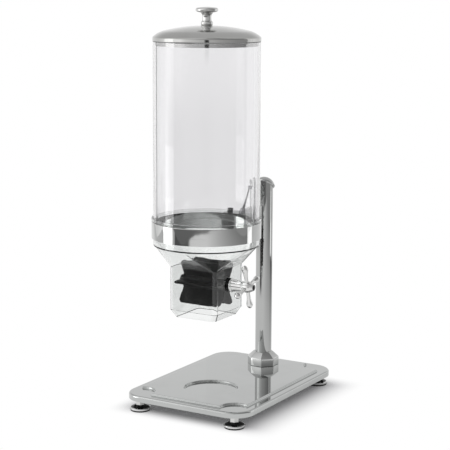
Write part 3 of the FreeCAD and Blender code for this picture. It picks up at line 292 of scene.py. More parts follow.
# ---------------------------------------------------------------- studio: soft boxes
# A tall soft box on the left is the key light and a narrow one on the right the
# rim light, both brightest at their feet; a wide one hangs overhead.
BOX_DISTANCE = 1.3
KEY_BEARING = math.radians(-85.5)
KEY_WIDTH = 0.56
KEY_BANDS = [(0.17, 2.3), (0.13, 1.5), (1.2, 0.72)]
RIM_BEARING = math.radians(99.5)
RIM_WIDTH = 0.32
RIM_BANDS = [(0.17, 1.1), (1.3, 0.65)]
TOP_PLACE = Vector((-0.9, -0.5, 1.7))
TOP_AIM = Vector((0, 0, 0.2))
TOP_WIDTH = 1.6
TOP_RADIANCE = 1.1


def soft_box(name, place, aim, width, height, radiance):
    """An area light of a given brightness that lenses don't see directly."""
    light = bpy.data.lights.new(name, "AREA")
    light.shape = "RECTANGLE"
    light.size = width
    light.size_y = height
    light.energy = radiance * math.pi * width * height
    box = bpy.data.objects.new(name, light)
    scene.collection.objects.link(box)
    box.location = place
    box.rotation_mode = "QUATERNION"
    box.rotation_quaternion = (aim - place).to_track_quat("-Z", "Y")
    box.visible_camera = False
    return box


def standing_box(name, bearing, width, bands):
    """Soft boxes of given heights and radiances, stacked from the table up at a bearing."""
    way = TO_CAMERA * math.cos(bearing) + TO_RIGHT * math.sin(bearing)
    level = 0.0
    for number, (height, radiance) in enumerate(bands, start=1):
        middle = BIN_AXIS + UP * (level + height / 2)
        soft_box("%s_%d" % (name, number), middle + way * BOX_DISTANCE, middle, width, height,
                 radiance)
        level += height


standing_box("key_light", KEY_BEARING, KEY_WIDTH, KEY_BANDS)
standing_box("rim_light", RIM_BEARING, RIM_WIDTH, RIM_BANDS)
top_light = soft_box("top_light", TOP_PLACE, TOP_AIM, TOP_WIDTH, TOP_WIDTH, TOP_RADIANCE)
top_light.visible_glossy = False


# ---------------------------------------------------------------- pressed base
# One sheet of stainless steel, pressed with a raised field, four foot bays and a
# bowl recess, then mirror polished. Wiping has left faint hairlines and haze.
ZERO = (0.0, 0.0, 0.0)
FLAT = (1.0, 1.0, 0.0)
BASE_COLOR = (0.515, 0.525, 0.52)
LINES_SHOWN = (0.60, 0.72)
PATCH_SCALE = 17.0
PATCHES_SHOWN = (0.46, 0.68)
PATCH_DIMMING = 0.965
MARK_STRENGTH = 0.25
LINE_SLANT = 0.7
LEAST_RADIUS = 0.0001


def shader_group(name, inputs, outputs):
    """A shader node group with named number or vector sockets: its tree, inputs and outputs."""
    tree = bpy.data.node_groups.new(name, "ShaderNodeTree")
    for way, sockets in (("INPUT", inputs), ("OUTPUT", outputs)):
        for label, value in sockets:
            kind = "NodeSocketVector" if isinstance(value, tuple) else "NodeSocketFloat"
            socket = tree.interface.new_socket(label, in_out=way, socket_type=kind)
            socket.default_value = value
    return (tree, tree.nodes.new("NodeGroupInput").outputs,
            tree.nodes.new("NodeGroupOutput").inputs)


def noise(tree, vector, scale, detail=2.0, roughness=0.5):
    """A noise value that follows a vector socket."""
    texture = tree.nodes.new("ShaderNodeTexNoise")
    texture.inputs["Scale"].default_value = scale
    texture.inputs["Detail"].default_value = detail
    texture.inputs["Roughness"].default_value = roughness
    tree.links.new(vector, texture.inputs["Vector"])
    return texture.outputs["Fac"]


tree, given, result = shader_group(
    "polish_marks",
    [("Lines", ZERO), ("Place", ZERO), ("Gloss", 0.03), ("Haze", 0.04), ("Hairlines", 0.05)],
    [("Roughness", 0.0), ("Height", 0.0), ("Film", 0.0)])
hairline = scaled_range(tree, noise(tree, given["Lines"], 1.0, 1.5), *LINES_SHOWN, 0.0, 1.0)
patches = scaled_range(tree, noise(tree, given["Place"], PATCH_SCALE, 3.0), *PATCHES_SHOWN,
                       0.0, 1.0)
hazed = math_node(tree, "MULTIPLY", patches, given["Haze"])
lined = math_node(tree, "MULTIPLY", hairline, given["Hairlines"])
tree.links.new(combined(tree, "ADD", given["Gloss"], hazed, lined), result["Roughness"])
tree.links.new(hairline, result["Height"])
tree.links.new(patches, result["Film"])

tree, given, result = shader_group("turned_lines", [("Place", ZERO), ("Across", 2500.0)],
                                   [("Lines", ZERO)])
parts = tree.nodes.new("ShaderNodeSeparateXYZ")
tree.links.new(given["Place"], parts.inputs[0])
radius = vector_node(tree, "LENGTH", vector_node(tree, "MULTIPLY", given["Place"], FLAT))
slanted = math_node(tree, "MULTIPLY", parts.outputs["Z"], LINE_SLANT)
outwards = math_node(tree, "SUBTRACT", radius, slanted)
joined = tree.nodes.new("ShaderNodeCombineXYZ")
for axis in "XY":
    unit = math_node(tree, "DIVIDE", parts.outputs[axis],
                     math_node(tree, "MAXIMUM", radius, LEAST_RADIUS))
    tree.links.new(unit, joined.inputs[axis])
tree.links.new(math_node(tree, "MULTIPLY", outwards, given["Across"]), joined.inputs["Z"])
tree.links.new(joined.outputs[0], result["Lines"])


def placed_group(tree, name, place, **values):
    """A shader group in a material, with its place and its own values."""
    group = tree.nodes.new("ShaderNodeGroup")
    group.node_tree = bpy.data.node_groups[name]
    tree.links.new(place, group.inputs["Place"])
    for label, number in values.items():
        group.inputs[label].default_value = number
    return group


def principled(name, color, metallic, roughness, **sockets):
    """A node material with one Principled BSDF; other sockets are set by their names."""
    material, tree, output = new_material(name)
    surface = tree.nodes.new("ShaderNodeBsdfPrincipled")
    tree.links.new(surface.outputs[0], output.inputs["Surface"])
    surface.inputs["Base Color"].default_value = (*color, 1)
    surface.inputs["Metallic"].default_value = metallic
    surface.inputs["Roughness"].default_value = roughness
    for label, number in sockets.items():
        surface.inputs[label.replace("_", " ")].default_value = number
    return material, tree, surface


def object_place(tree, centre=ZERO, turn=ZERO):
    """Object coordinates, moved so that a centre is at zero, and then turned."""
    place = tree.nodes.new("ShaderNodeTexCoord").outputs["Object"]
    mapping = tree.nodes.new("ShaderNodeMapping")
    mapping.vector_type = "POINT"
    mapping.inputs["Rotation"].default_value = turn
    tree.links.new(vector_node(tree, "SUBTRACT", place, centre), mapping.inputs["Vector"])
    return mapping.outputs["Vector"]


def two_tones(tree, surface, share, first, second):
    """Base colour that runs from one colour to another with a value."""
    mix = tree.nodes.new("ShaderNodeMix")
    mix.data_type = "RGBA"
    mix.inputs["A"].default_value = (*first, 1)
    mix.inputs["B"].default_value = (*second, 1)
    tree.links.new(share, mix.inputs["Factor"])
    tree.links.new(mix.outputs["Result"], surface.inputs["Base Color"])


def bumped(tree, surface, height, strength, distance):
    """Feeds a height to the surface's normal."""
    bump = tree.nodes.new("ShaderNodeBump")
    bump.inputs["Strength"].default_value = strength
    bump.inputs["Distance"].default_value = distance
    tree.links.new(height, bump.inputs["Height"])
    tree.links.new(bump.outputs["Normal"], surface.inputs["Normal"])


def polished(name, color, centre=None, turn=ZERO, stretch=(900.0, 60.0, 900.0), gloss=0.02,
             haze=0.03, hairlines=0.05, depth=0.000004, across=2500.0):
    """Polished metal, with hairlines round a centre where one is given, and else straight ones."""
    material, tree, surface = principled(name, color, 1.0, gloss)
    place = object_place(tree, centre or ZERO, turn)
    if centre:
        lines = placed_group(tree, "turned_lines", place, Across=across).outputs["Lines"]
    else:
        lines = vector_node(tree, "MULTIPLY", place, stretch)
    marks = placed_group(tree, "polish_marks", place, Gloss=gloss, Haze=haze, Hairlines=hairlines)
    tree.links.new(lines, marks.inputs["Lines"])
    tree.links.new(marks.outputs["Roughness"], surface.inputs["Roughness"])
    dimmed = tuple(part * PATCH_DIMMING for part in color)
    two_tones(tree, surface, marks.outputs["Film"], color, dimmed)
    bumped(tree, surface, marks.outputs["Height"], MARK_STRENGTH, depth)
    return material


def paint(material, *names):
    """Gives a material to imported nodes."""
    for name in names:
        slots = node[name].data.materials
        slots.clear()
        slots.append(material)


paint(polished("base_steel", BASE_COLOR, haze=0.035, hairlines=0.04), "base_plate")


# ---------------------------------------------------------------- levelling feet
# Four bought feet: a zinc-plated stud with a hexagon, a steel disc with a black
# lacquered dome, and a rubber pad. Each stud turns in a nut welded under the base.
BASE_CENTRE = (0.0, 0.004, 0.0)
STUD_OFFSET = (0.090, 0.145, 0.0)
DOME_RADIUS = 0.0156
RIM_TOP = 0.0058
STUD_RADIUS = 0.0043
THREAD_PITCH = 0.00125
THREAD_DEPTH = 0.0008
DUST_SCALE = 600.0
DUST_SHOWN = (0.45, 0.80)
DUST_ROUGHNESS = (0.04, 0.22)
SMUDGE_SCALE = 130.0
SMUDGES_SHOWN = (0.40, 0.70)
SMUDGE_ROUGHNESS = (0.06, 0.20)
SHINE_SCALE = 55.0
SHINE_SHOWN = (0.35, 0.75)
SHINE_CHANGE = (-0.08, 0.15)
SPECK_SCALE = 380.0
SPECKS_SHOWN = (0.62, 0.80)
DISC_COLOR = (0.66, 0.66, 0.66)
LACQUER_COLOR = (0.010, 0.010, 0.010)
STUD_COLOR = (0.64, 0.64, 0.63)
PAD_COLOR = (0.014, 0.014, 0.014)


def each_foot(name):
    """The names of a piece that all four feet have."""
    return ["%s_%d" % (name, number) for number in range(1, 5)]


def foot_place(tree):
    """Coordinates round the base's centre, the height, and the distance from the nearest stud."""
    place = object_place(tree, BASE_CENTRE)
    folded = vector_node(tree, "SUBTRACT", vector_node(tree, "ABSOLUTE", place), STUD_OFFSET)
    from_stud = vector_node(tree, "LENGTH", vector_node(tree, "MULTIPLY", folded, FLAT))
    return place, vector_node(tree, "DOT_PRODUCT", place, UP), from_stud


foot_steel, tree, surface = principled("foot_steel", DISC_COLOR, 1.0, 0.06)
place, height, from_stud = foot_place(tree)
lacquer = math_node(tree, "MULTIPLY", math_node(tree, "LESS_THAN", from_stud, DOME_RADIUS),
                    math_node(tree, "GREATER_THAN", height, RIM_TOP))
two_tones(tree, surface, lacquer, DISC_COLOR, LACQUER_COLOR)
dust = scaled_range(tree, noise(tree, place, DUST_SCALE, 4.0), *DUST_SHOWN, *DUST_ROUGHNESS)
tree.links.new(dust, surface.inputs["Roughness"])
tree.links.new(math_node(tree, "SUBTRACT", 1.0, lacquer), surface.inputs["Metallic"])
paint(foot_steel, *each_foot("foot_disc"))

stud_steel, tree, surface = principled("stud_steel", STUD_COLOR, 1.0, 0.10)
place, height, from_stud = foot_place(tree)
turns = math_node(tree, "DIVIDE", height, THREAD_PITCH)
thread = math_node(tree, "MULTIPLY", math_node(tree, "PINGPONG", turns, 0.5),
                   math_node(tree, "LESS_THAN", from_stud, STUD_RADIUS))
bumped(tree, surface, thread, 1.0, THREAD_DEPTH)
smudges = noise(tree, place, SMUDGE_SCALE, 3.0)
tree.links.new(scaled_range(tree, smudges, *SMUDGES_SHOWN, *SMUDGE_ROUGHNESS),
               surface.inputs["Roughness"])
paint(stud_steel, *each_foot("foot_stud"))

tree, given, result = shader_group(
    "moulded_grain", [("Place", ZERO), ("Gloss", 0.4), ("Grain", 2400.0)],
    [("Roughness", 0.0), ("Height", 0.0), ("Dust", 0.0)])
shine = scaled_range(tree, noise(tree, given["Place"], SHINE_SCALE, 4.0), *SHINE_SHOWN,
                     *SHINE_CHANGE)
tree.links.new(math_node(tree, "ADD", given["Gloss"], shine), result["Roughness"])
grain_place = tree.nodes.new("ShaderNodeVectorMath")
grain_place.operation = "SCALE"
tree.links.new(given["Place"], grain_place.inputs[0])
tree.links.new(given["Grain"], grain_place.inputs["Scale"])
tree.links.new(noise(tree, grain_place.outputs[0], 1.0, 2.0), result["Height"])
specks = noise(tree, given["Place"], SPECK_SCALE, 3.0, 0.7)
tree.links.new(scaled_range(tree, specks, *SPECKS_SHOWN, 0.0, 1.0), result["Dust"])


def moulded(name, color, gloss, grain=2400.0, depth=0.00002, dusty=0.05, specular=0.3):
    """Moulded rubber or plastic: fine grain, specks of dust and patches of shine."""
    material, tree, surface = principled(name, color, 0.0, gloss, Specular_IOR_Level=specular)
    marks = placed_group(tree, "moulded_grain", object_place(tree), Gloss=gloss, Grain=grain)
    tree.links.new(marks.outputs["Roughness"], surface.inputs["Roughness"])
    dusted = tuple(part + dusty for part in color)
    two_tones(tree, surface, marks.outputs["Dust"], color, dusted)
    bumped(tree, surface, marks.outputs["Height"], 0.35, depth)
    return material


paint(moulded("foot_rubber", PAD_COLOR, 0.55), *each_foot("foot_pad"))


# ---------------------------------------------------------------- nuts, bolt and washers
# Plain steel fastenings: the nuts under the base and at the lug, the column's plug,
# backing plate, washer and bolt, and the washer and screw under the lid's knob.
PLAIN_COLOR = (0.52, 0.53, 0.54)

paint(polished("plain_steel", PLAIN_COLOR, gloss=0.22, haze=0.15, hairlines=0.10),
      "foot_weld_nuts", "column_plug", "column_backing_plate", "column_bolt_washer",
      "column_bolt", "lid_knob_washer", "lid_knob_screw", "lug_nuts")


# ---------------------------------------------------------------- column, collar and cap
# A polished steel tube, mitred at the top so that its cap slopes down to the back,
# stands in an eight-sided collar. The cap is spun from thin sheet and pressed in.
COLUMN_COLOR = (0.47, 0.475, 0.47)
COLLAR_COLOR = (0.60, 0.605, 0.60)
CAP_COLOR = (0.50, 0.505, 0.50)
COLLAR_FOOT = Vector((0.0, 0.114, 0.033))
COLLAR_SIDES = 8
COLLAR_HALF = 0.0255
COLLAR_TOP_HALF = 0.0155
COLLAR_BORE = 0.0132
COLLAR_BAND = 0.0140
COLLAR_TOP = 0.0235
COLLAR_EDGE = 0.0010
CAP_SEAT = Vector((0.0, 0.114, 0.3515))
CAP_TILT = math.radians(-33.0)
CAP_RADIUS = 0.0172
CAP_SHOULDER = 0.0160
CAP_RIM = 0.0030
CAP_RISE = 0.0110
CAP_PLUG = 0.0112
CAP_PLUG_DEPTH = 0.004

paint(polished("column_chrome", COLUMN_COLOR, stretch=(700.0, 700.0, 9.0), haze=0.02),
      "column_tube")


def arc(start, end, radius, steps=6):
    """Points of an arc between two (radius, height) points, which bulges to the right of its
    way for a radius above 0."""
    (x0, y0), (x1, y1) = start, end
    chord = math.hypot(x1 - x0, y1 - y0)
    side = math.copysign(1.0, radius)
    drop = math.sqrt(max(radius * radius - chord * chord / 4, 0.0)) / chord
    centre_x = (x0 + x1) / 2 - side * (y1 - y0) * drop
    centre_y = (y0 + y1) / 2 + side * (x1 - x0) * drop
    first = math.atan2(y0 - centre_y, x0 - centre_x)
    sweep = 2 * math.asin(min(chord / 2 / abs(radius), 1.0)) * side
    angles = [first + sweep * step / steps for step in range(steps + 1)]
    return [(centre_x + abs(radius) * math.cos(angle), centre_y + abs(radius) * math.sin(angle))
            for angle in angles]


def dome_radius(radius, rise):
    """Radius of the sphere whose cap has a given radius and rise."""
    return (radius * radius + rise * rise) / (2 * rise)


def turned(name, outline, foot, axis, outwards, steps=96, sharp=35):
    """Draws an outline of (radius, height) points from a foot point and spins it about the axis."""
    bpy.ops.object.select_all(action="DESELECT")
    bpy.ops.mesh.primitive_plane_add(size=0.01, location=(0, 0, 0))
    piece = bpy.context.object
    piece.name = name
    bpy.ops.object.mode_set(mode="EDIT")
    bpy.ops.mesh.select_all(action="SELECT")
    bpy.ops.mesh.merge(type="CENTER")
    places = [foot + outwards * radius + axis * height for radius, height in outline]
    bpy.ops.transform.translate(value=places[0])
    for before, after in zip(places, places[1:]):
        bpy.ops.mesh.extrude_vertices_move(TRANSFORM_OT_translate={"value": after - before})
    bpy.ops.mesh.select_all(action="SELECT")
    bpy.ops.mesh.spin(steps=steps, angle=2 * math.pi, center=foot, axis=axis)
    bpy.ops.mesh.select_all(action="SELECT")
    bpy.ops.mesh.remove_doubles(threshold=0.000002)
    bpy.ops.mesh.normals_make_consistent(inside=False)
    bpy.ops.object.mode_set(mode="OBJECT")
    bpy.ops.object.shade_smooth_by_angle(angle=math.radians(sharp))
    bpy.ops.object.select_all(action="DESELECT")
    return piece


def apply_steps(piece, *modifiers):
    """Applies modifiers to a piece, in order."""
    bpy.context.view_layer.objects.active = piece
    for name in [modifier.name for modifier in modifiers]:
        bpy.ops.object.modifier_apply(modifier=name)


def fit(piece, material, body, slot, *replaced):
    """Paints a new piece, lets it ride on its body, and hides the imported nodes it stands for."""
    piece.data.materials.clear()
    piece.data.materials.append(material)
    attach(piece, body)
    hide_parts(*replaced)


half_side = math.pi / COLLAR_SIDES
collar_face = [(COLLAR_BORE, 0.0), (COLLAR_HALF, 0.0), (COLLAR_HALF, COLLAR_BAND),
               (COLLAR_TOP_HALF, COLLAR_TOP), (COLLAR_BORE, COLLAR_TOP), (COLLAR_BORE, 0.0)]
collar_corner = [(half / math.cos(half_side), height) for half, height in collar_face]
corner_way = EAST * math.cos(half_side) + BACK * math.sin(half_side)
collar_block = turned("collar_block", collar_corner, COLLAR_FOOT, UP, corner_way, COLLAR_SIDES)
eased = collar_block.modifiers.new("eased_edges", "BEVEL")
eased.width = COLLAR_EDGE
eased.segments = 3
eased.angle_limit = math.radians(20)
apply_steps(collar_block, eased)
collar_block.select_set(True)
bpy.ops.object.shade_smooth_by_angle(angle=math.radians(60), keep_sharp_edges=False)
bpy.ops.object.select_all(action="DESELECT")
collar_chrome = polished("collar_chrome", COLLAR_COLOR, stretch=(60.0, 60.0, 1500.0))
fit(collar_block, collar_chrome, "stand", "column_chrome", "column_collar")

cap_edge = (CAP_RADIUS, CAP_RIM)
cap_outline = [(0.0, -CAP_PLUG_DEPTH), (CAP_PLUG, -CAP_PLUG_DEPTH), (CAP_PLUG, 0.0)]
cap_outline += arc((CAP_SHOULDER, 0.0), cap_edge, 0.0034)
cap_outline += arc(cap_edge, (0.0, CAP_RIM + CAP_RISE), dome_radius(CAP_RADIUS, CAP_RISE), 14)[1:]
cap_way = Matrix.Rotation(CAP_TILT, 3, "X") @ UP
column_button = turned("column_button", cap_outline, CAP_SEAT, cap_way, EAST)
cap_chrome = polished("cap_chrome", CAP_COLOR, tuple(CAP_SEAT), (-CAP_TILT, 0.0, 0.0))
fit(column_button, cap_chrome, "stand", "column_chrome", "column_cap")


# ---------------------------------------------------------------- holder ring and arm
# A rolled and polished band with a lug at its back, screwed to an arm on the
# column: two button-head screws hold the arm, and a black socket screw the lug.
RING_COLOR = (0.56, 0.565, 0.56)
ARM_COLOR = (0.50, 0.505, 0.50)
SCREW_COLOR = (0.58, 0.58, 0.57)
OXIDE_COLOR = (0.02, 0.02, 0.021)
LOW_SEAT = Vector((0.0, 0.12835, 0.292))
SCREW_SPACING = 0.016
SCREW_RADIUS = 0.0055
SCREW_EDGE = 0.0004
SCREW_HEIGHT = 0.0033
SHANK_RADIUS = 0.0025
SHANK_LENGTH = 0.0480
SOCKET_WIDTH = 0.0040
SOCKET_MIDDLE = 0.0036
SOCKET_CUT = 0.004


def copied(piece, name, change):
    """A copy of a finished piece, with its own mesh, moved by a matrix."""
    other = piece.copy()
    other.data = piece.data.copy()
    other.name = name
    other.data.transform(change)
    scene.collection.objects.link(other)
    return other


def joined_piece(name, pieces):
    """Joins pieces into the first of them."""
    bpy.ops.object.select_all(action="DESELECT")
    for piece in pieces:
        piece.select_set(True)
    bpy.context.view_layer.objects.active = pieces[0]
    bpy.ops.object.join()
    pieces[0].name = name
    bpy.ops.object.select_all(action="DESELECT")
    return pieces[0]


paint(polished("ring_chrome", RING_COLOR, tuple(BIN_AXIS), haze=0.015, hairlines=0.03),
      "holder_ring")
paint(polished("arm_steel", ARM_COLOR, stretch=(60.0, 900.0, 900.0), gloss=0.06, haze=0.05),
      "support_arm")
paint(moulded("black_oxide", OXIDE_COLOR, 0.32, specular=0.5, dusty=0.02), "lug_screw")

head_outline = [(0.0, -SHANK_LENGTH), (SHANK_RADIUS, -SHANK_LENGTH), (SHANK_RADIUS, 0.0),
                (SCREW_RADIUS, 0.0)]
head_outline += arc((SCREW_RADIUS, SCREW_EDGE), (0.0, SCREW_HEIGHT), 0.0068, 8)
low_head = turned("low_head", head_outline, LOW_SEAT, BACK, EAST, 48)
bpy.ops.mesh.primitive_cylinder_add(vertices=6, radius=SOCKET_WIDTH / math.sqrt(3),
                                    depth=SOCKET_CUT, location=LOW_SEAT + BACK * SOCKET_MIDDLE,
                                    rotation=(math.pi / 2, 0, 0))
key = bpy.context.object
socket_cut = low_head.modifiers.new("hexagon_socket", "BOOLEAN")
socket_cut.object = key
socket_cut.operation = "DIFFERENCE"
apply_steps(low_head, socket_cut)
bpy.data.objects.remove(key)
high_head = copied(low_head, "high_head", Matrix.Translation(UP * SCREW_SPACING))
button_heads = joined_piece("button_heads", [low_head, high_head])
screw_steel = polished("screw_steel", SCREW_COLOR, gloss=0.12, haze=0.08)
fit(button_heads, screw_steel, "stand", "screw_steel", "arm_screws")


# ---------------------------------------------------------------- clamping lever
# A cast steel boss on a stud that clamps the lug. Its round handle rises to the
# back, thins out and then swells to a ball at the tip.
LEVER_COLOR = (0.42, 0.42, 0.43)
LEVER_FOOT = Vector((0.013, 0.022, 0.317))
LEVER_RISE = math.radians(50.0)
STUD_LENGTH = 0.0180
BOSS_RADIUS = 0.0065
BOSS_CROWN = 0.0050
BOSS_TOP = 0.0072
HANDLE_START = 0.0051
HANDLE_THICK = 0.0029
HANDLE_THIN = 0.0018

boss_outline = [(0.0, -STUD_LENGTH), (SHANK_RADIUS, -STUD_LENGTH), (SHANK_RADIUS, 0.0),
                (BOSS_RADIUS, 0.0)]
boss_outline += arc((BOSS_RADIUS, 0.0012), (BOSS_CROWN, BOSS_TOP), -0.0200)
boss_outline += arc((0.0048, BOSS_TOP + 0.0002), (0.0, BOSS_TOP + 0.0013), 0.0110, 5)
lever_boss = turned("lever_boss", boss_outline, LEVER_FOOT, UP, EAST, 48)
lever_way = Vector((0.0, math.cos(LEVER_RISE), math.sin(LEVER_RISE)))
handle_outline = [(0.0, 0.0), (HANDLE_THICK, 0.0)]
handle_outline += arc((HANDLE_THICK, 0.001), (HANDLE_THIN, 0.040), -0.30)
handle_outline += arc((HANDLE_THIN, 0.0416), (0.0, 0.0482), 0.00355, 8)
lever_arm = turned("lever_arm", handle_outline, LEVER_FOOT + UP * HANDLE_START, lever_way, EAST, 48)
lever_casting = joined_piece("lever_casting", [lever_boss, lever_arm])
lever_steel = polished("lever_steel", LEVER_COLOR, gloss=0.10, haze=0.08)
fit(lever_casting, lever_steel, "lever", "lever_steel", "clamp_lever")


# ---------------------------------------------------------------- hopper
# One clear moulding: a round flange and throat, sloping walls and a square chute
# with a drawn-in spout. It is glossy, with faint flow marks from the mould.
HOPPER_COLOR = (0.905, 0.915, 0.91)
FLOW_MARKS = (60.0, 60.0, 22.0)
FLOW_DEPTH = 0.0002
CLEAR_GLOSS = 0.015
CLEAR_INDEX = 1.49
SCUFF_SCALE = 260.0
SCUFFS_SHOWN = (0.66, 0.80)
SCUFF_ROUGHNESS = (0.012, 0.10)


def clear_plastic(name, color, marks):
    """Clear glossy plastic with fine scuffs, its place and the height of its faint waves."""
    material, tree, surface = principled(name, color, 0.0, CLEAR_GLOSS, Transmission_Weight=1.0,
                                         IOR=CLEAR_INDEX)
    place = object_place(tree, tuple(BIN_AXIS))
    waves = noise(tree, vector_node(tree, "MULTIPLY", place, marks), 1.0, 2.0)
    scuffs = noise(tree, place, SCUFF_SCALE, 4.0, 0.7)
    tree.links.new(scaled_range(tree, scuffs, *SCUFFS_SHOWN, *SCUFF_ROUGHNESS),
                   surface.inputs["Roughness"])
    return material, tree, surface, place, waves


clear_hopper, tree, surface, place, waves = clear_plastic("clear_hopper", HOPPER_COLOR, FLOW_MARKS)
bumped(tree, surface, waves, 0.5, FLOW_DEPTH)
paint(clear_hopper, "hopper")


# ---------------------------------------------------------------- clear bin
# A length of extruded clear tube that stands in the hopper's seat. Drawing has
# left slow upright waves in its wall, and one faint seam near the left.
BIN_COLOR = (0.903, 0.900, 0.908)
DRAWING_MARKS = (34.0, 34.0, 1.5)
DRAWING_DEPTH = 0.00005
SEAM_BEARING = math.radians(233.7)
SEAM_HALF_WIDTH = 0.0018
SEAM_HEIGHT = 5.0

clear_bin, tree, surface, place, waves = clear_plastic("clear_bin", BIN_COLOR, DRAWING_MARKS)
seam_way = Vector((math.cos(SEAM_BEARING), math.sin(SEAM_BEARING), 0.0))
aside = math_node(tree, "ABSOLUTE", vector_node(tree, "DOT_PRODUCT", place, seam_way.cross(UP)))
ridge = scaled_range(tree, aside, 0.0, SEAM_HALF_WIDTH, SEAM_HEIGHT, 0.0)
on_side = math_node(tree, "GREATER_THAN", vector_node(tree, "DOT_PRODUCT", place, seam_way), 0.0)
seam = math_node(tree, "MULTIPLY", ridge, on_side)
bumped(tree, surface, math_node(tree, "ADD", waves, seam), 0.5, DRAWING_DEPTH)
paint(clear_bin, "bin_tube")


# ---------------------------------------------------------------- bushes and spindle
# A square steel spindle drives the wheel and pulls out with the handle. Two black
# plastic bushes in the chute's side walls carry it.
SPINDLE = Vector((0.0, -0.080, 0.2155))
ALONG_X = (0.0, math.pi / 2, 0.0)
BLACK_PLASTIC = (0.008, 0.008, 0.008)
SPINDLE_COLOR = (0.56, 0.56, 0.55)

paint(moulded("bush_plastic", BLACK_PLASTIC, 0.30, dusty=0.02), "spindle_bush", "tail_bush")
paint(polished("spindle_steel", SPINDLE_COLOR, tuple(SPINDLE), ALONG_X, gloss=0.10, haze=0.08),
      "spindle")


# ---------------------------------------------------------------- paddle wheel
# A moulded black core with six soft rubber vanes that wipe the chute. The vanes
# are rounded at their corners and have set into slow waves along their length.
RUBBER_COLOR = (0.0026, 0.0030, 0.0027)
CORE_COLOR = (0.006, 0.0065, 0.006)
HALF_LENGTH = 0.0400
VANE_ROOT = 0.0098
VANE_REACH = 0.0408
VANE_THICKNESS = 0.0034
VANE_COUNT = 6
VANE_ANGLE = 56.0
WAVE_SIZE = 0.022
WAVE_HEIGHT = 0.0034
CORNER_CUTS = ((0.0030, 45.0), (0.0011, 20.0), (0.0011, 70.0))
SLEEVE_BORE = 0.0086
SLEEVE_FACE = 0.0112
SLEEVE_RADIUS = 0.0120
SLEEVE_EDGE = HALF_LENGTH - 0.0008
FUSE_STEP = 0.0008

bpy.ops.mesh.primitive_grid_add(x_subdivisions=44, y_subdivisions=18, size=1.0, location=(0, 0, 0))
blade = bpy.context.object
blade.name = "blade"
bpy.ops.object.mode_set(mode="EDIT")
bpy.ops.mesh.select_all(action="SELECT")
bpy.ops.transform.resize(value=(2 * HALF_LENGTH - VANE_THICKNESS, VANE_REACH - VANE_ROOT, 1.0))
bpy.ops.transform.translate(value=(0.0, (VANE_REACH + VANE_ROOT) / 2, 0.0))
for side in (-1, 1):
    corner = Vector((side * (HALF_LENGTH - VANE_THICKNESS / 2), VANE_REACH, 0.0))
    for back, degrees in CORNER_CUTS:
        turn = math.radians(degrees)
        way = Vector((side * math.cos(turn), math.sin(turn), 0.0))
        bpy.ops.mesh.select_all(action="SELECT")
        bpy.ops.mesh.bisect(plane_co=corner - way * back, plane_no=way, clear_outer=True)
bpy.ops.object.mode_set(mode="OBJECT")
ripple = bpy.data.textures.new("ripple", "CLOUDS")
ripple.noise_scale = WAVE_SIZE
wave = blade.modifiers.new("set_in_waves", "DISPLACE")
wave.texture = ripple
wave.texture_coords = "LOCAL"
wave.strength = WAVE_HEIGHT
wave.mid_level = 0.5
thick = blade.modifiers.new("thickness", "SOLIDIFY")
thick.thickness = VANE_THICKNESS
thick.offset = 0.0
apply_steps(blade, wave, thick)

vanes = []
for number in range(VANE_COUNT):
    turn = Matrix.Rotation(math.radians(VANE_ANGLE + number * 360 / VANE_COUNT), 4, "X")
    end_for_end = Matrix.Rotation(math.pi * (number % 2), 4, "Y")
    change = Matrix.Translation(SPINDLE) @ turn @ end_for_end
    vanes.append(copied(blade, "vane_%d" % (number + 1), change))
bpy.data.objects.remove(blade)
sleeve_outline = [(SLEEVE_BORE, -HALF_LENGTH), (SLEEVE_FACE, -HALF_LENGTH),
                  (SLEEVE_RADIUS, -SLEEVE_EDGE), (SLEEVE_RADIUS, SLEEVE_EDGE),
                  (SLEEVE_FACE, HALF_LENGTH), (SLEEVE_BORE, HALF_LENGTH),
                  (SLEEVE_BORE, -HALF_LENGTH)]
sleeve = turned("sleeve", sleeve_outline, SPINDLE, EAST, UP, 48)
soft_vanes = joined_piece("soft_vanes", [sleeve] + vanes)
fuse = soft_vanes.modifiers.new("moulded_in_one", "REMESH")
fuse.mode = "VOXEL"
fuse.voxel_size = FUSE_STEP
ease = soft_vanes.modifiers.new("soft_edges", "SMOOTH")
ease.factor = 0.5
ease.iterations = 4
apply_steps(soft_vanes, fuse, ease)
soft_vanes.select_set(True)
bpy.ops.object.shade_smooth()
bpy.ops.object.select_all(action="DESELECT")
wheel_rubber = moulded("wheel_rubber", RUBBER_COLOR, 0.42, specular=0.16, dusty=0.005)
fit(soft_vanes, wheel_rubber, "wheel", "wheel_rubber", "wheel_vanes")
paint(moulded("wheel_plastic", CORE_COLOR, 0.35, dusty=0.01), "wheel_core")


# ---------------------------------------------------------------- cross handle
# A chromed barrel, turned with a collar, a groove and a tapering nose, on the
# spindle. Four teardrop spokes stand in its hub; a black plug closes its end.
HANDLE_COLOR = (0.74, 0.74, 0.735)
HANDLE_AXIS = Vector((0.0, SPINDLE.y, SPINDLE.z))
HUB = HANDLE_AXIS + EAST * 0.077
BACK_FACE = 0.0476
NOSE_END = 0.0890
BORE_RADIUS = 0.0057
BORE_END = 0.0700
PLUG_RADIUS = 0.0039
PLUG_SEAT = 0.0860
SPOKE_COUNT = 4
SPOKE_ANGLE = math.radians(15.0)
SPOKE_START = 0.0065
SPOKE_NECK = 0.0031
SPOKE_SWELL = (0.0050, 0.0290)
SPOKE_END = 0.0380

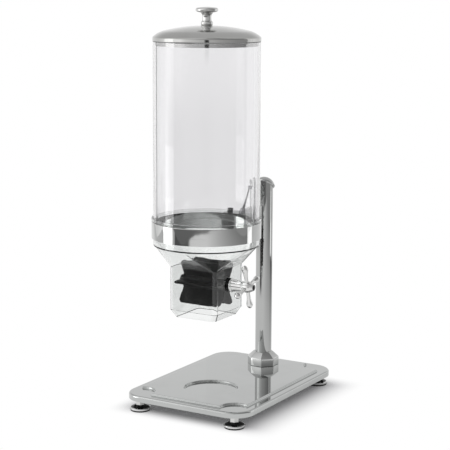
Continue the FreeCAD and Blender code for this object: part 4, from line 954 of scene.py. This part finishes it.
bore = [(0.0, BORE_END), (BORE_RADIUS, BORE_END), (BORE_RADIUS, BACK_FACE)]
shoulder = [(0.0108, BACK_FACE)] + arc((0.0115, 0.0483), (0.0115, 0.0500), 0.0030, 4)
groove = [(0.0106, 0.0507), (0.0103, 0.0510), (0.0105, 0.0514)]
waist = arc((0.0105, 0.0520), (0.0086, 0.0692), -0.120, 8) + [(0.0083, 0.0698), (0.0084, 0.0706)]
hub_band = arc((0.0089, 0.0712), (0.0089, 0.0812), 0.030)
nose = arc((0.0080, 0.0826), (0.0055, 0.0882), -0.030) + [(0.0051, NOSE_END)]
plug_hole = [(PLUG_RADIUS, NOSE_END), (PLUG_RADIUS, PLUG_SEAT), (0.0, PLUG_SEAT)]
barrel_outline = bore + shoulder + groove + waist + hub_band + nose + plug_hole
turned_barrel = turned("turned_barrel", barrel_outline, HANDLE_AXIS, EAST, UP)
handle_chrome = polished("handle_chrome", HANDLE_COLOR, tuple(SPINDLE), ALONG_X, haze=0.02,
                         hairlines=0.03)
fit(turned_barrel, handle_chrome, "handle", "handle_chrome", "handle_barrel")

spoke_outline = [(0.0, SPOKE_START), (SPOKE_NECK, SPOKE_START)]
spoke_outline += arc((SPOKE_NECK, 0.0070), SPOKE_SWELL, -0.070, 8)
spoke_outline += arc(SPOKE_SWELL, (0.0, SPOKE_END), 0.0074, 10)[1:]
spoke_way = Vector((0.0, math.cos(SPOKE_ANGLE), math.sin(SPOKE_ANGLE)))
spokes = [turned("spoke_1", spoke_outline, HUB, spoke_way, EAST, 48)]
for number in range(1, SPOKE_COUNT):
    turn = Matrix.Rotation(math.radians(number * 360 / SPOKE_COUNT), 4, "X")
    change = Matrix.Translation(HUB) @ turn @ Matrix.Translation(-HUB)
    spokes.append(copied(spokes[0], "spoke_%d" % (number + 1), change))
teardrop_spokes = joined_piece("teardrop_spokes", spokes)
spoke_chrome = polished("spoke_chrome", HANDLE_COLOR, stretch=(500.0, 500.0, 500.0))
fit(teardrop_spokes, spoke_chrome, "handle", "handle_chrome", "handle_spokes")
paint(moulded("plug_plastic", BLACK_PLASTIC, 0.30, dusty=0.02), "handle_end_plug")
paint(moulded("grub_oxide", OXIDE_COLOR, 0.30, specular=0.5, dusty=0.02), "handle_grub_screw")


# ---------------------------------------------------------------- lid
# A cover spun from thin stainless sheet, satin with rings from the spinning tool,
# its edge hemmed. A skirt under it centres it in the bin on a grey seal.
LID_COLOR = (0.50, 0.50, 0.49)
SKIRT_COLOR = (0.54, 0.54, 0.53)
SEAL_COLOR = (0.36, 0.36, 0.36)
SHEET = 0.0009
EDGE_RADIUS = 0.0866
INNER_RADIUS = EDGE_RADIUS - SHEET
LID_BOTTOM = 0.6060
LID_TOP = 0.6300
LID_HOLE = 0.0027
WALL_INSET = 0.45 * SHEET
HEM_LEVEL = LID_BOTTOM + SHEET / 2
CORNER_END = (0.08567, 0.61267)
BEND_END = (0.0680, 0.6221)
CROWN_END = (0.0085, LID_TOP)

corner = arc((EDGE_RADIUS, 0.6105), CORNER_END, 0.0030, 5)
bend = arc(CORNER_END, BEND_END, 0.0395, 8)
crown = arc(BEND_END, CROWN_END, 0.2954, 12)
outer_face = [(EDGE_RADIUS, LID_BOTTOM + 0.0008)] + corner + bend[1:] + crown[1:]
inner_face = [(min(radius - WALL_INSET, INNER_RADIUS), height - SHEET)
              for radius, height in reversed(outer_face) if height - SHEET > LID_BOTTOM + 0.0010]
hem = arc((INNER_RADIUS, HEM_LEVEL), (EDGE_RADIUS, HEM_LEVEL), SHEET / 2)
hole = [(LID_HOLE, LID_TOP), (LID_HOLE, LID_TOP - SHEET)]
lid_outline = hole + inner_face + hem + outer_face + [(LID_HOLE, LID_TOP)]
spun_lid = turned("spun_lid", lid_outline, BIN_AXIS, UP, EAST, 128)
lid_steel = polished("lid_steel", LID_COLOR, tuple(BIN_AXIS), gloss=0.10, haze=0.05,
                     hairlines=0.07, depth=0.000010, across=1400.0)
fit(spun_lid, lid_steel, "lid", "lid_steel", "lid_cover")
paint(polished("skirt_steel", SKIRT_COLOR, tuple(BIN_AXIS), gloss=0.06, haze=0.04), "lid_skirt")
paint(moulded("gasket_rubber", SEAL_COLOR, 0.45), "lid_gasket")


# ---------------------------------------------------------------- knob
# Turned from bar with a narrow waist and a flat, softly domed top, then chromed.
# A screw from below, through the lid and a washer, holds it.
KNOB_COLOR = (0.66, 0.66, 0.655)
KNOB_FOOT = BIN_AXIS + UP * LID_TOP
KNOB_BORE = 0.00255
BORE_DEPTH = 0.0120
KNOB_WIDEST = (0.0181, 0.0244)
KNOB_SHOULDER = (0.0154, 0.0280)
KNOB_RISE = 0.0015

bore = [(0.0, BORE_DEPTH), (KNOB_BORE, BORE_DEPTH), (KNOB_BORE, 0.0)]
foot = arc((0.0086, 0.0), (0.0092, 0.0060), 0.0060)
waist = arc((0.0088, 0.0064), (0.0075, 0.0084), -0.0030, 4)
waist += arc((0.0075, 0.0086), (0.0075, 0.0160), -0.030, 5)
flare = arc((0.0076, 0.0162), (0.0106, 0.0200), -0.0060, 5)
rim = arc((0.0152, 0.0213), KNOB_WIDEST, 0.0032) + arc(KNOB_WIDEST, KNOB_SHOULDER, 0.0036)[1:]
dome = arc(KNOB_SHOULDER, (0.0, KNOB_SHOULDER[1] + KNOB_RISE),
           dome_radius(KNOB_SHOULDER[0], KNOB_RISE), 8)[1:]
knob_outline = bore + foot + waist + flare + rim + dome
turned_knob = turned("turned_knob", knob_outline, KNOB_FOOT, UP, EAST)
knob_chrome = polished("knob_chrome", KNOB_COLOR, tuple(BIN_AXIS))
fit(turned_knob, knob_chrome, "lid", "knob_chrome", "lid_knob")
